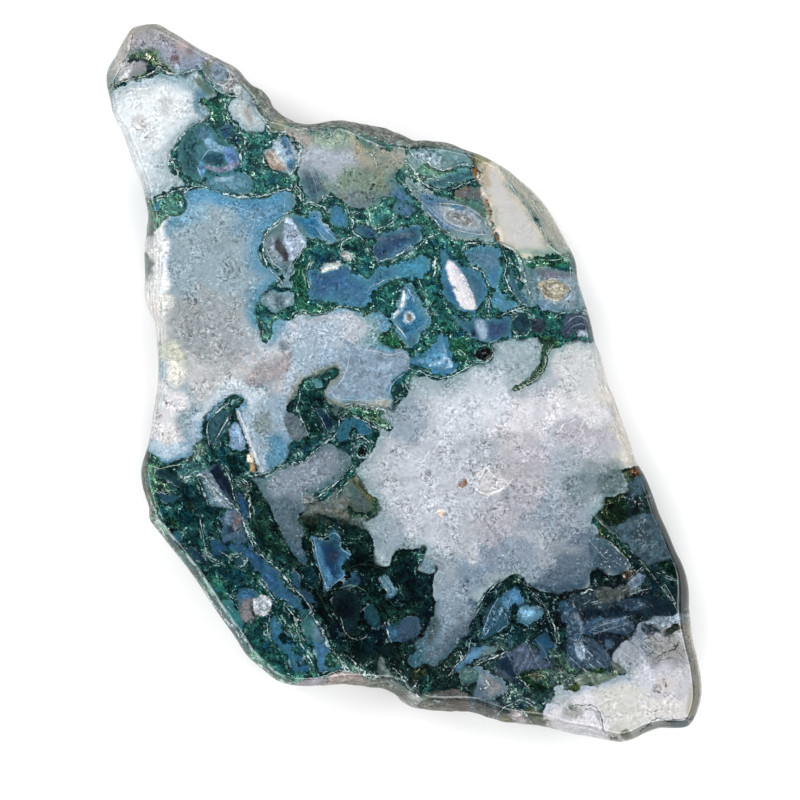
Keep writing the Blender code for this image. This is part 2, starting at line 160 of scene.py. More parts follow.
# The mauve tip, the white quartz below it and the upper edge.
UPPER_END = """
smoky #a5a2ad #8c8a8e:
95 100 100 60 118 18 150 8 200 26 250 60 262 84 256 92 250 98 247 92 243 88 236 87 232 92 226 95
219 91 213 86 208 80 205 75 203 70 198 70 192 71 186 73 178 75 170 74 164 71 158 67 156 70 150 75
142 78 134 80 126 82 118 84 112 89 106 98
tint #9a958c 6 0.9:
120 14 150 6 206 34 240 62 260 84 250 96 240 74 222 66 204 58 188 46 166 34 146 32 134 34 128 48
114 78 100 74
tint #93a59f 4 0.9:
108 62 118 60 124 64 118 76 113 86 110 100 100 100
tint #b9b4b2 3 0.8:
124 40 132 36 131 48 126 60 118 74 112 70
tint #9699aa 5 0.8:
158 44 176 48 180 54 168 62 158 56
tint #8f9ab3 5 0.8:
172 64 188 58 200 56 202 68 188 72 176 70
tint #b5a3a3 4 0.7:
178 38 190 44 186 52 174 48
tint #656754 3 0.9:
200 62 210 62 211 74 213 84 206 76 202 68
tint #6a5d60 1.5 0.9:
168 57 171 54 175 54 178 57 178 61 175 63 171 62 168 60
tint #746b6b 1.5 0.8:
186 50 189 48 193 49 194 52 191 55 187 54
tint #6b7d89 2 1.0:
212 64 217 62 222 64 226 68 228 73 228 78 225 82 220 83 214 80 211 76 210 70
moss #566c62:
129 62 130 55 135 52 141 51 147 50 152 49 157 51 159 57 161 62 166 65 170 69 173 73 166 72 162 68
158 67 155 71 150 74 143 77 136 79 128 81 121 82 116 84 112 88 112 85 117 81 124 79 131 77 139 76
144 73 146 68 144 63 140 60 134 61 130 65
shade #223546 2.5 1.0:
130 58 136 57 142 58 148 62 154 66 156 70 150 73 146 72 146 66 142 60 136 60 131 63
vein 2.0:
110 90 114 85 118 83 126 81 134 79 142 77 150 74 155 70 158 66 163 70 169 73 176 74 182 74 188 72
193 70 199 69
patch #cacbd0:
117 80 121 75 126 70 130 66 132 69 129 75 124 79
crack 1.4:
133 33 132 42 130 50 127 57 122 66 117 75 113 85
crack 1.4:
110 98 112 106 113 112 115 118
vein 1.4:
108 84 110 76 114 68 117 60
vein 1.4:
201 52 202 57 205 62 207 66
crack 1.8:
203 56 205 59 207 62
vein 1.6:
203 71 208 77 213 83 219 88 225 92
crack 1.8:
202 73 207 79 213 86 219 91
vein 2.2:
214 87 219 91 225 94 232 96 238 96
druse 1:
216 82 222 83 228 80 233 79 234 88 230 94 222 90
druse 1:
230 66 242 74 252 84 264 92 270 104 266 114 258 108 250 100 247 92 240 82 232 76
druse 1:
284 116 300 124 318 122 350 119 380 124 402 132 420 140 450 142 470 149 474 154 460 150 440 150
412 148 385 149 372 143 358 134 346 129 320 131 300 129 288 130
quartz #ededf2 #c3ced8:
112 96 116 90 122 86 130 83 138 81 146 79 152 78 157 75 163 74 170 75 177 77 184 76 190 75 196 73
200 77 204 82 208 86 213 90 217 94 213 97 208 99 204 97 199 98 199 103 202 107 207 109 208 113
205 118 200 121 194 124 189 129 184 133 179 139 174 146 170 152 168 158 168 165 169 170 172 173
176 177 181 180 184 183 178 186 172 188 165 191 158 194 152 198 146 198 124 200 104 160 98 120
100 100
tint #cacfd0 6 0.7:
112 96 124 90 150 84 150 92 124 100 114 108
tint #8da8b2 8 0.9:
156 76 196 74 216 94 210 118 196 118 192 100 180 88 160 84
tint #557c92 4 0.9:
196 88 208 88 214 94 204 98 200 112 206 116 202 120 196 114 194 100
tint #506351 2.5 0.9:
198 74 204 82 210 88 217 94 210 98 206 94 200 86 194 78
tint #babcbe 3 0.7:
160 98 172 98 172 112 162 114
tint #c7c5c5 3 0.8:
134 118 144 114 148 124 140 130 132 126
tint #abb4b8 6 0.7:
188 124 200 120 180 140 172 150 168 170 176 180 160 192 156 170 164 148
moss #2d5a50:
200 100 203 98 207 100 208 104 206 107 202 106 200 103
vein 1.8:
199 98 199 104 203 108 207 109
vein 1.6:
207 117 199 121 192 126 186 131 180 138 175 145 170 153 168 160 168 166
vein 3.8:
172 165 175 168 178 172 178 176
crack 3.0:
171 161 176 160 180 164 181 170
quartz #bec5c9 #9dadb8:
236 90 240 88 244 89 247 93 249 99 253 104 257 110 261 116 264 121 264 126 262 131 256 131 250 131
245 130 241 129 239 124 236 121 233 118 230 113 229 108 230 103 233 100 237 98 236 94
tint #97938f 4 0.8:
241 108 248 106 254 116 254 124 246 122 242 116
vein 3.0:
224 101 226 108 228 115 230 121 234 123 238 127 240 131
shade #31625c 3 0.8:
214 100 222 102 224 112 218 116 214 108
shade #225345 4 0.6:
206 108 214 112 216 124 206 122
agate #386490 #1f4d61:
193 127 198 124 203 127 206 131 211 134 216 138 221 142 226 144 231 147 236 150 239 155 240 160
236 164 230 166 224 169 218 171 212 173 207 175 203 178 199 181 197 176 195 170 192 165 189 169
185 172 181 169 181 163 184 158 182 152 181 147 184 143 188 145 192 150 195 147 193 141 190 134
tint #a0bed2 2.5 0.9:
200 131 206 133 212 138 214 142 208 142 202 136
tint #5c8aa8 3 0.9:
196 158 202 160 208 164 206 172 202 178 198 170
tint #729dbc 3 0.8:
208 142 222 144 238 154 236 162 226 160 214 152
tint #8f8aa0 3 0.9:
206 156 222 160 232 162 224 170 210 168 204 162
tint #245664 3 0.9:
190 126 198 124 200 134 196 146 198 156 190 158 186 150 192 142
patch #1d3f50:
204 155 209 157 215 159 221 158 226 158 224 161 217 164 211 163 206 160
agate #2c4577 #24375c:
218 129 222 126 228 124 232 128 233 134 230 138 225 139 220 135
crack 4.0:
223 130 227 129
shade #243650 3 0.8:
232 138 240 136 240 146 234 146
shade #2f6a72 4 0.8:
200 168 236 166 244 172 236 180 208 180
vein 2.4:
241 139 245 142 244 147 241 151 241 158 243 164
shade #354541 4 0.9:
248 156 266 154 272 166 254 168
shade #2d6c6c 2.5 0.8:
250 151 262 150 274 148 274 153 262 156 250 157
agate #8fa0a0 #7d8a80:
262 112 270 108 280 115 286 124 296 130 320 131 346 130 358 136 372 144 386 150 404 150 404 166
396 170 390 164 384 161 377 161 375 168 380 178 370 180 350 176 330 178 310 172 302 166 298 158
300 150 296 140 288 134 280 134 272 131 268 124 264 118
tint #95977c 4 0.9:
270 112 282 118 286 130 276 128
tint #a3b9c8 2 0.9:
268 114 273 113 274 120 270 121
tint #afa8a4 5 0.9:
284 130 306 130 312 150 300 164 292 150
tint #90a394 5 0.9:
312 134 352 132 356 150 340 160 314 156
tint #a4afc6 5 1.0:
302 158 350 156 356 166 350 178 320 178 304 168
tint #9c99a0 6 0.9:
356 150 404 150 404 168 384 160 364 166
tint #bfb890 2.5 0.9:
350 132 356 134 360 142 368 148 374 154 378 164 374 170 368 160 360 152 354 146 350 140
vein 2.0:
352 133 357 141 362 148 369 153 375 160 377 168
vein 1.8:
318 131 320 136 326 135 331 130
vein 2.6:
331 135 334 137
vein 1.6:
346 134 351 138 356 144
crack 1.6:
354 132 358 139 362 143
crack 3.4:
359 133 364 133
crack 2.8:
378 141 382 142
vein 3.2:
263 119 267 125 272 130 279 133 287 131
vein 1.4:
300 128 310 130 320 130
tint #b0605a 1.5 0.8:
327 122 334 123 334 127 328 127
quartz #b9babf #9ba8b4:
264 153 270 149 276 143 282 138 288 140 294 148 298 158 296 166 291 174 287 172 280 170 274 168
270 162
patch #4b7494:
282 137 287 139 290 146 293 154 295 162 293 169 288 170 286 162 283 154 281 146
patch #a3bccd:
274 143 279 140 281 146 284 154 287 160 283 161 279 154 275 149
vein 3.6:
300 143 300 151 299 159 296 166 292 173
smoky #6f8f96 #7f9aa2:
408 152 418 149 440 149 462 148 470 154 474 162 472 166 464 165 456 167 448 169 440 169 434 167
428 163 420 166 413 170 408 164 405 158
tint #9caec0 3 0.8:
416 152 436 154 442 166 434 166 424 160 414 158
druse 1:
410 150 440 150 444 164 430 164 412 162
vein 3.0:
428 162 434 167 442 170 450 168 458 165 465 164 472 166
vein 3.0:
405 160 409 165 413 170 418 174
vein 2.0:
410 151 414 157 412 162
shade #387678 3 0.7:
414 168 424 166 440 172 452 172 466 168 470 176 440 182 418 178
smoky #948e65 #7d764e:
474 154 484 156 496 160 512 168 524 180 520 190 500 184 488 178 480 172 474 166
tint #b7a9a5 4 1.0:
490 160 516 170 526 184 506 184 494 174
crack 3.2:
464 151 469 157 474 161 472 166 470 172 474 177
crack 2.4:
474 168 480 173 478 180
agate #4a7588 #3a6672:
190 128 200 124 212 126 216 134 224 140 232 146 238 152 240 160 236 168 228 173 216 176 206 178 196 180
188 176 182 168 178 158 178 148 183 138
tint #2c5258 3 0.9:
181 142 190 136 196 144 194 158 198 172 190 176 182 166
wash #527a90 1.8 0.6:
198 128 210 128 216 137 206 141 198 138
wash #7aa0b8 1.8 0.7:
203 139 211 138 219 143 226 150 222 154 212 150 205 146
wash #5685a6 1.6 0.7:
197 164 203 160 206 168 205 178 199 176
wash #5f86b4 1.6 0.8:
222 150 230 148 238 154 238 163 230 166 225 160
wash #848ca4 1.4 0.8:
206 164 216 167 226 165 236 160 237 166 228 171 214 172 206 170
patch #2a4a5a:
204 157 209 153 216 153 222 156 225 160 219 163 211 164 206 162
line 1.4 #86aed0:
203 157 208 151 216 150 224 154
line 1.6 #0f2438:
184 150 190 156 188 166 194 172
line 1.6 #0f2438:
192 132 196 140 192 148 198 154
line 1.2 #a9c8e4:
196 166 200 172 202 178
vein 3.8:
173 162 175 167 177 171
vein 2.0:
170 158 172 150 178 142 184 134 190 127
agate #688eae #4a708e:
206 182 212 177 222 174 234 172 244 173 250 178 254 184 250 190 240 193 228 193 216 190 210 187
line 2.6 #23405a:
226 186 229 189
line 2.0 #23405a:
236 185 240 188
wash #8cabc0 1.2 0.6:
214 178 224 176 236 175 230 180 218 183
vein 2.4:
183 193 192 188 203 186 214 190 226 194 240 197 256 197 270 194 282 190 292 190
vein 1.8:
150 200 162 196 174 191 184 188
vein 2.6:
292 186 296 192 300 198 304 206
grain 6 0.45:
108 90 150 74 196 78 216 96 200 118 176 142 166 162 184 184 150 200 116 140
grain 6 1.0:
150 88 172 84 196 96 196 116 176 126 160 116
agate #6b7b92 #7b8c9e:
299 168 306 165 314 167 320 172 326 180 331 187 328 193 322 196 317 203 310 202 305 194 301 184
line 1.6 #37485a:
304 172 308 184 312 196
line 1.4 #8d9ba8:
309 168 314 180 317 194
line 1.4 #3f4f5e:
315 170 320 182 323 192
wash #a59a90 1.4 0.8:
265 156 271 150 278 158 286 168 282 170 272 168
line 1.0 #7d746c:
267 153 274 162 281 170
line 1.0 #e3dcd4:
270 151 277 160 285 169
wash #3f5558 2 0.35:
200 40 220 54 238 70 256 92 268 108 262 112 248 96 232 80 214 64 196 50
wash #4c4a42 2 0.4:
232 80 244 92 258 104 266 112 258 116 244 104 230 90
patch #8497a8:
212 67 215 64 220 65 223 70 222 77 217 80 213 75
line 1.2 #d3e0e2:
224 65 229 72 230 80 224 85 216 83 210 76
wash #cddade 1.6 0.6:
234 83 240 85 243 93 237 97 233 90
line 1.2 #bfd2c8:
243 84 250 92 256 100 262 108 268 114
line 1.0 #a3b8a6:
247 80 257 89 265 99 271 109
line 1.4 #34503c:
240 80 250 88 258 97 264 107
line 1.2 #c2d6cf:
252 128 262 122 268 128 276 132
calm 8 0.35:
108 90 150 74 196 78 216 96 200 118 176 142 166 162 184 184 150 200 116 140
tint #a9bec6 5 0.5:
150 150 166 160 172 180 182 186 170 194 152 196 144 170
shade #486f68 2.5 0.6:
200 98 216 100 228 108 230 120 216 124 206 112
shade #40606a 3 0.6:
244 146 262 150 272 158 266 170 250 168
wash #b9cad5 2 0.35:
281 140 296 141 301 158 290 161 281 153
"""

# The wide quartz on the left.
WEST = """
quartz #97a7b1 #6394b0:
184 197 183 194 187 191 192 190 198 190 205 189 212 191 219 193 226 196 233 198 241 199 250 199
262 199 270 198 274 194 283 191 290 193 294 198 295 204 292 208 287 211 284 217 278 222 271 227
264 232 261 240 259 248 258 256 260 263 264 267 271 268 276 272 278 277 273 282 268 287 264 291
260 296 257 300 255 307 254 315 256 322 258 330 260 337 262 342 266 344 270 340 273 334 273 326
276 321 283 320 290 322 294 319 298 316 305 315 312 316 320 316 328 314 334 312 338 309 345 308
351 310 356 311 360 313 364 317 370 315 376 313 384 315 388 320 389 326 386 331 380 333 377 337
380 342 388 346 396 350 403 349 408 353 410 360 410 366 406 371 400 374 396 377 392 381 390 387
390 393 393 399 391 405 386 409 378 410 368 408 358 405 350 404 346 407 340 408 334 405 329 401
326 396 325 391 327 386 331 382 336 378 339 373 338 368 334 366 330 367 326 371 322 374 316 375
310 376 305 378 301 382 298 387 296 393 295 398 291 400 287 404 286 409 289 413 294 415 298 419
302 425 304 430 301 434 296 438 291 441 288 446 288 452 287 458 283 462 276 465 268 470 262 472
258 468 256 463 254 456 250 447 246 438 243 430 240 421 237 413 236 409 240 406 244 402 244 399
240 396 236 393 231 395 226 399 220 405 214 411 208 417 204 421 202 427 201 433 203 437 199 441
194 443 192 448 191 455 188 457 183 458 178 459 172 461 167 463 163 462 160 459 156 455 152 453
148 450 140 448 130 420 135 380 140 340 136 303 144 301 146 299 148 291 150 285 153 279 155 272
156 265 154 259 151 253 148 249 149 244 152 240 155 236 157 231 160 227 163 223 167 219 171 217
175 218 179 216 183 213 186 209 187 203
tint #f3f3f6 3 1.0:
171 216 165 223 163 229 164 234 167 240 168 250 167 262 167 276 166 288 162 294 159 305 158 318
157 330 153 345 140 345 130 300 140 240 150 228 158 222
tint #f0ece6 4 0.8:
160 292 170 296 176 310 178 325 172 338 165 345 155 335 150 310
tint #989fa2 12 0.9:
170 300 240 296 252 330 240 360 200 370 176 352
tint #a9adb6 12 0.8:
250 340 292 345 296 375 280 390 250 386 236 370
tint #bebfc1 8 0.9:
186 352 228 352 250 364 286 352 294 360 284 378 250 382 214 396 204 404 194 400 184 380
tint #8f8e94 2 0.8:
282 340 287 342 292 348 295 356 294 364 288 372 280 378 270 384 256 388 244 384 250 372 262 360
274 352 280 346
tint #c9cab8 4 0.8:
162 345 176 340 184 350 184 362 170 362 162 356
tint #dcdad2 2.5 1.0:
169 360 176 358 183 364 186 372 184 382 176 386 168 380 167 370
tint #dcd9dc 5 0.9:
158 380 176 388 188 400 176 414 178 430 186 440 168 442 150 440 150 400
tint #c2ced7 3 0.9:
200 408 212 396 222 386 230 381 238 381 246 386 254 390 262 392 270 398 262 412 252 414 246 400
238 392 226 396 214 408 204 416 198 426 198 434 192 432 192 416
tint #9aaebe 3 0.9:
190 422 198 420 200 430 201 438 194 441 190 438
tint #abbfce 3 0.9:
150 442 166 440 180 446 190 444 189 452 182 456 168 460 158 454 150 449
tint #c4c2c2 3 0.7:
158 430 170 434 176 440 168 442 158 438
tint #a7b6c3 8 0.8:
280 340 300 318 345 312 345 365 330 362 312 372 300 378 292 390 284 404 276 390 290 372 296 352
tint #86a7c0 4 0.8:
300 334 306 326 318 324 322 336 312 342 302 342
tint #92abc1 4 0.8:
324 350 334 344 340 356 334 364 322 366
tint #80a0a4 4 0.8:
352 318 372 318 378 330 376 342 366 344 354 332
tint #8fa3b2 6 0.8:
262 400 280 396 286 412 290 432 288 452 270 440 256 420
tint #778688 4 0.9:
252 424 262 414 272 420 270 432 256 434
tint #55839c 6 1.0:
264 448 274 436 284 436 289 448 287 460 276 466 264 468
tint #a1b2c0 2.5 0.9:
240 410 248 412 256 432 262 452 268 466 262 472 256 462 246 438
tint #9ca098 4 0.9:
290 412 284 404 288 396 296 378 308 370 326 366 334 360 342 370 340 380 332 386 330 392 334 400
348 402 362 398 380 400 392 400 386 412 360 410 336 412 322 400 322 388 334 376 324 378 306 384
300 394 296 404
tint #646c62 2.5 0.8:
286 410 286 402 294 394 297 384 303 376 318 371 329 363 337 364 341 372 338 380 331 384 327 391
330 398 338 404 350 400 364 403 384 408 384 412 350 408 336 412 322 400 322 388 334 376 322 378
308 382 301 392 298 404 290 412
moss #2f5a50:
377 341 377 337 380 333 386 331 392 333 398 337 404 341 410 347 408 351 402 350 396 350 388 347
381 344
patch #8499ab:
344 340 350 343 357 346 365 347 373 349 381 351 390 353 398 350 405 352 409 358 410 365 407 370
402 372 397 375 393 377 390 381 388 386 386 390 387 395 385 399 378 398 370 396 362 396 352 396
346 398 342 400 336 399 331 395 329 391 333 386 339 381 344 374 347 368 343 363 341 355 343 347
smoky #626b7a #6d7480:
287 413 292 416 297 421 301 425 304 430 300 433 294 437 290 434 288 428 286 420
patch #7d8b95:
281 340 286 343 290 348 287 350 283 351 279 348
rays 178 370 10 0.12:
165 380 200 350 236 356 240 380 214 400 200 430 170 440 150 430 150 390
tint #b2bac4 4 0.9:
284 322 300 317 340 312 360 318 366 330 352 344 320 348 296 346
druse 0.3:
300 322 340 316 356 326 340 342 306 344
druse 0.5:
364 316 380 314 390 322 392 336 382 344 372 336
line 1.0 #9fb8c8:
255 222 252 234 250 246 252 258
line 1.2 #a9c4d8:
224 204 240 208 252 212
tint #537b8d 3 0.8:
276 196 284 192 292 196 294 206 288 214 280 222 272 228 272 218 278 208
tint #4f8db4 4 0.7:
190 191 212 191 241 199 262 199 280 194 280 204 262 208 236 208 212 204 194 202
line 1.4 #b3bfca:
345 344 349 352 348 364 344 376 338 385 332 392 336 398
350 400 366 400 380 401 388 397 390 388 396 380 404 374
line 1.2 #b3bfca:
346 344 358 348 374 351 390 355 402 352 409 358
calm 4 0.35:
338 350 350 348 374 352 398 356 406 362 402 372 388 386 384 398 340 398 334 392 344 376
druse 0.42:
292 322 330 318 345 326 344 356 326 368 300 372 294 350
wash #b9a9a6 4 0.35:
231 352 262 346 290 356 288 374 262 384 236 380
line 1.0 #d7dfe6:
300 336 306 348 304 360
line 1.0 #cfd8e0:
318 330 326 340 324 352
line 1.0 #86939c:
310 326 316 338 314 350
shade #5f8880 3 0.8:
147 202 160 204 160 224 152 234 146 232
shade #37605a 3 0.8:
160 196 184 196 182 212 164 216
tint #8ba3b6 5 0.6:
294 326 320 320 344 330 342 352 322 364 300 368 292 350
tint #4f86a8 6 0.65:
238 204 280 198 284 212 276 222 264 232 256 244 244 240 236 222
tint #b6c1ca 6 0.6:
240 322 258 326 268 342 284 344 282 358 244 362
shade #64898a 3 0.6:
260 318 280 318 280 336 266 340 260 334
shade #6d8e90 3 0.6:
156 200 180 198 184 212 166 222 156 216
tint #8ab0c6 5 0.6:
178 204 206 200 208 216 188 224 176 218
tint #949da1 9 0.6:
194 314 246 314 246 360 220 368 194 362
shade #80969a 3 0.6:
180 442 202 440 204 456 186 463
shade #587880 3 0.6:
178 463 204 461 206 478 184 483
"""

# The large quartz in the middle and the right-hand side.
EAST = """
patch #182330:
563 336 570 331 578 328 584 327 585 330 578 332 571 336 566 339
patch #9aa7b8:
577 334 581 331 585 331 588 335 587 338 582 336 578 337
vein 1.8:
556 316 562 313 570 311 578 311 586 314
quartz #b5b6be #97a7ae:
400 404 404 400 407 396 409 390 410 383 413 378 418 377 425 377 432 379 440 380 448 379 454 377
460 374 466 371 470 368 476 367 484 365 490 362 494 357 495 351 494 345 497 342 503 341 510 340
515 341 520 342 526 340 531 338 538 338 543 343 548 350 556 349 564 346 571 343 578 342 586 343
592 344 598 340 640 340 690 470 660 470 638 465 630 468 622 470 622 475 625 482 628 489 626 492
621 493 618 495 612 497 608 499 605 504 602 508 599 510 596 513 594 516 592 520 592 524 595 527
597 530 597 534 596 537 600 539 606 540 611 543 616 548 620 552 624 557 628 560 629 565 626 569
620 573 613 575 607 574 603 570 599 567 595 568 591 573 590 578 590 583 588 586 580 589 570 591
560 593 550 592 543 590 537 589 531 585 526 580 522 576 517 573 511 575 505 579 498 582 492 586
486 591 482 597 477 605 473 612 470 620 466 628 461 636 456 644 451 652 446 656 441 654 438 648
437 640 438 632 440 625 441 616 441 609 437 603 434 597 434 590 433 582 434 576 438 572 439 567
436 564 433 566 434 570 431 573 425 573 420 570 420 567 424 562 425 557 427 551 426 546 422 545
418 548 410 549 400 548 395 551 392 557 390 564 386 566 381 565 377 560 374 553 375 547 374 541
371 534 367 528 364 523 371 520 377 516 381 511 381 505 377 499 371 494 367 490 364 484 360 476
356 470 358 467 362 463 367 458 372 453 375 447 377 440 380 434 381 430 386 431 391 431 393 427
390 423 386 420 382 417 385 413 388 411 393 412 396 408
tint #b8bec6 12 0.7:
372 450 400 440 400 500 386 504 372 484
tint #b9bec8 14 0.8:
400 420 430 412 470 440 470 500 440 540 410 530 404 480
tint #dad8df 14 0.8:
490 400 540 400 548 440 520 450 490 430
tint #97a9b2 10 0.8:
420 384 470 380 500 360 520 350 548 354 540 376 490 384 450 396 424 396
tint #80989d 5 0.9:
546 348 566 346 566 356 552 362 544 356
tint #a8a6ac 4 0.6:
500 440 530 434 545 452 546 500 536 528 512 530 500 500
tint #90a1b3 6 0.8:
540 440 552 450 556 500 548 526 538 520 544 480
tint #cdc8be 8 0.9:
592 350 604 350 624 396 642 450 650 470 624 468 612 430 598 384
tint #dad8e0 6 0.9:
548 396 566 396 572 414 560 428 546 426
tint #dddbdf 6 0.8:
574 394 600 396 606 426 584 416 574 420
tint #b4b1ba 5 0.8:
562 428 574 424 590 420 604 428 616 446 590 450 562 448
tint #7d8a8b 6 0.8:
580 456 606 458 624 462 622 480 616 492 600 496 588 480
tint #97a3ac 10 0.8:
544 456 576 452 590 480 560 496 540 490
tint #8693a0 12 0.8:
520 500 560 500 590 506 590 530 556 536 520 530
tint #586a7c 8 0.9:
560 536 592 528 606 542 622 556 626 568 606 570 592 560 570 566 552 556
tint #778798 8 0.8:
484 540 520 540 560 560 588 576 586 586 560 588 530 574 500 572 484 584
tint #223f52 4 1.0:
536 582 560 584 586 580 590 584 580 592 548 594 530 586
tint #617f98 8 0.7:
456 560 486 566 480 592 466 616 452 606 446 580
tint #8e9ca6 6 0.9:
428 560 452 556 460 586 452 616 444 600 440 584
tint #718f9d 2.5 0.9:
420 562 430 558 436 566 432 574 424 574
tint #d8c0a8 1.5 0.8:
437 511 442 511 443 516 438 517
tint #798693 5 0.7:
506 486 516 486 516 500 506 502
line 2.2 #f1f2f4:
474 486 480 492 488 494 498 491 506 486 512 480
line 1.4 #e9ebed:
479 479 484 471 488 466
line 1.4 #e3e6e9:
486 468 492 474 499 479 508 480
line 1.2 #eceef1:
549 428 554 420 556 412
line 1.2 #eceef1:
560 430 564 424 571 422 576 419
line 1.0 #eceef1:
581 427 585 420 592 417 599 418
moss #25362d:
604 498 612 497 620 495 622 500 624 508 626 516 622 522 616 526 609 527 604 522 600 516 602 508
shade #525c4c 2.5 0.8:
622 470 632 468 630 478 630 490 626 482
shade #5c4336 2 0.9:
632 467 640 466 641 476 634 476
agate #485e76 #334d60:
634 478 640 476 643 480 645 487 643 493 638 495 632 496 630 491 631 484
druse 0.55:
626 496 646 494 652 500 648 508 632 508
patch #3f5560:
609 527 616 526 622 524 628 520 634 517 640 515 646 513 652 515 656 517 658 523 661 531 664 540
668 550 671 557 664 560 656 562 650 564 645 562 638 556 630 548 622 540 614 532
tint #39608e 3 1.0:
610 528 622 530 636 544 650 556 656 564 646 564 630 550
tint #6a7f8c 5 0.8:
640 516 656 518 664 544 668 556 650 556 640 540
druse 0.5:
632 522 648 518 654 536 654 548 642 550 634 538
shade #263724 2.5 0.9:
598 528 606 530 618 544 630 556 626 560 616 550 606 541 598 538
line 2.0 #14211f:
592 516 604 528 618 541 630 553 643 567 656 583
line 1.1 #93a39f:
594 515 606 527 620 540 632 552 645 566 658 582
crack 1.6:
596 513 608 525 622 538
crack 2.0:
600 525 612 537 626 551 640 565
vein 1.6:
606 540 611 543 616 548 621 553 626 558 630 565 629 572
line 1.1 #8fa0aa:
590 541 596 548 601 554 606 559
line 1.1 #9fb0b0:
662 588 668 596 674 604 678 612
line 1.0 #9fb0b0:
666 586 672 596 676 604
vein 1.6:
641 568 635 573 629 579
vein 1.5:
658 573 667 576 676 580
shade #5a4a44 2 0.7:
624 572 632 570 632 576 624 578
shade #0d2924 4 0.9:
658 560 672 560 678 576 668 578
patch #76899a:
637 574 641 573 643 577 641 581 637 584 632 586 628 588 624 586 630 581
druse 0.4:
626 586 632 580 640 573 644 578 638 586
patch #424c52:
618 588 622 585 627 585 630 589 633 594 629 596 624 592 622 597 620 601 616 598 614 594 616 590
vein 3.0:
583 593 588 590 592 590
vein 1.8:
631 594 640 591 650 588
patch #3f4e50:
598 598 602 593 608 592 612 595 610 600 604 603 598 604
patch #334a58:
570 598 580 598 590 597 598 600 604 604 612 602 618 602 622 606 616 610 608 610 600 612 590 612
582 608 574 606
agate #2d5070 #224060:
559 602 566 600 574 604 580 610 582 618 578 626 570 628 564 622 560 612
druse 0.4:
562 604 578 606 582 624 568 628
patch #3a2c1a:
606 612 610 609 614 612 614 617 610 620 606 618
rays 463 483 14 0.16:
400 400 470 376 540 350 600 350 620 420 640 460 600 500 590 560 560 586 520 560 490 560 450 590
410 540 376 530 386 500 366 476 390 440
grain 12 0.55:
470 400 560 390 630 410 650 470 600 460 560 450 540 500 500 500 470 450
grain 10 1.35:
470 520 560 500 590 470 620 480 596 516 600 560 590 590 540 592 480 580
tint #445a68 4 0.95:
594 540 612 534 628 542 634 556 628 570 616 572 604 566 596 570 590 560
calm 10 0.55:
570 350 604 346 630 400 646 450 650 470 620 466 596 452 584 420 572 390
calm 14 0.3:
430 390 560 352 590 400 560 470 500 440 440 430
wash #20301f 2 0.6:
596 514 606 520 612 532 604 532 598 524
tint #c9c8cb 3 0.8:
474 476 490 466 506 476 512 482 500 492 482 494
line 1.2 #e0e3e6:
470 476 476 482 480 488
wash #a58a74 1.6 0.55:
457 483 462 480 466 482 466 486 462 489 457 488
wash #9a7350 0.9 0.7:
463 481 466 480 467 484 464 485
wash #b59c86 1.4 0.7:
483 489 487 488 488 491 484 492
tint #74858d 5 0.9:
562 480 590 472 612 470 620 480 616 494 596 502 572 504
tint #596c6e 3 0.9:
600 474 620 470 625 484 621 494 606 499 599 490
tint #b3b0b8 4 0.5:
508 436 536 430 552 452 548 488 530 512 512 500 506 468
tint #a9a6ad 3 0.5:
476 520 492 506 514 500 520 520 504 540 486 546
rays 463 483 10 0.42:
456 486 440 470 410 450 384 452 372 476 384 500 380 540 400 560
440 560 470 600 490 572 520 566 540 556 520 530 500 512 480 500
rays 463 483 8 0.36:
470 470 486 440 520 400 500 384 460 384 420 400 404 430 440 456 456 472
tint #8d9499 3 0.5:
540 556 560 544 580 548 576 562 556 570 542 566
tint #44596a 9 0.8:
548 568 566 556 584 556 600 562 608 570 596 580 588 590 560 592 540 590 538 578
tint #364a58 6 0.75:
596 550 614 548 630 556 628 572 608 574 596 568
tint #8395a2 6 0.75:
396 404 404 397 416 400 424 412 422 440 402 446 392 432 384 424 388 418 396 412
tint #7d909c 5 0.6:
376 520 392 516 404 530 406 548 394 556 384 562 376 550
tint #d2dae3 9 0.6:
436 396 460 384 480 374 502 372 514 392 506 412 484 430 456 432 438 420
tint #d6d7d6 8 0.6:
554 352 594 350 606 392 582 402 556 392
tint #8fa2a7 6 0.5:
516 354 546 352 548 372 534 384 516 394 512 376
moss #35524a:
538 338 552 338 558 346 550 352 547 364 542 376 531 384
518 391 510 393 509 389 522 383 534 374 539 362 541 350
line 1.1 #b9c9bb:
552 346 547 356 544 368 536 379 522 387 509 392
grain 9 1.6:
540 548 566 542 590 550 600 562 584 580 556 584 538 570
"""

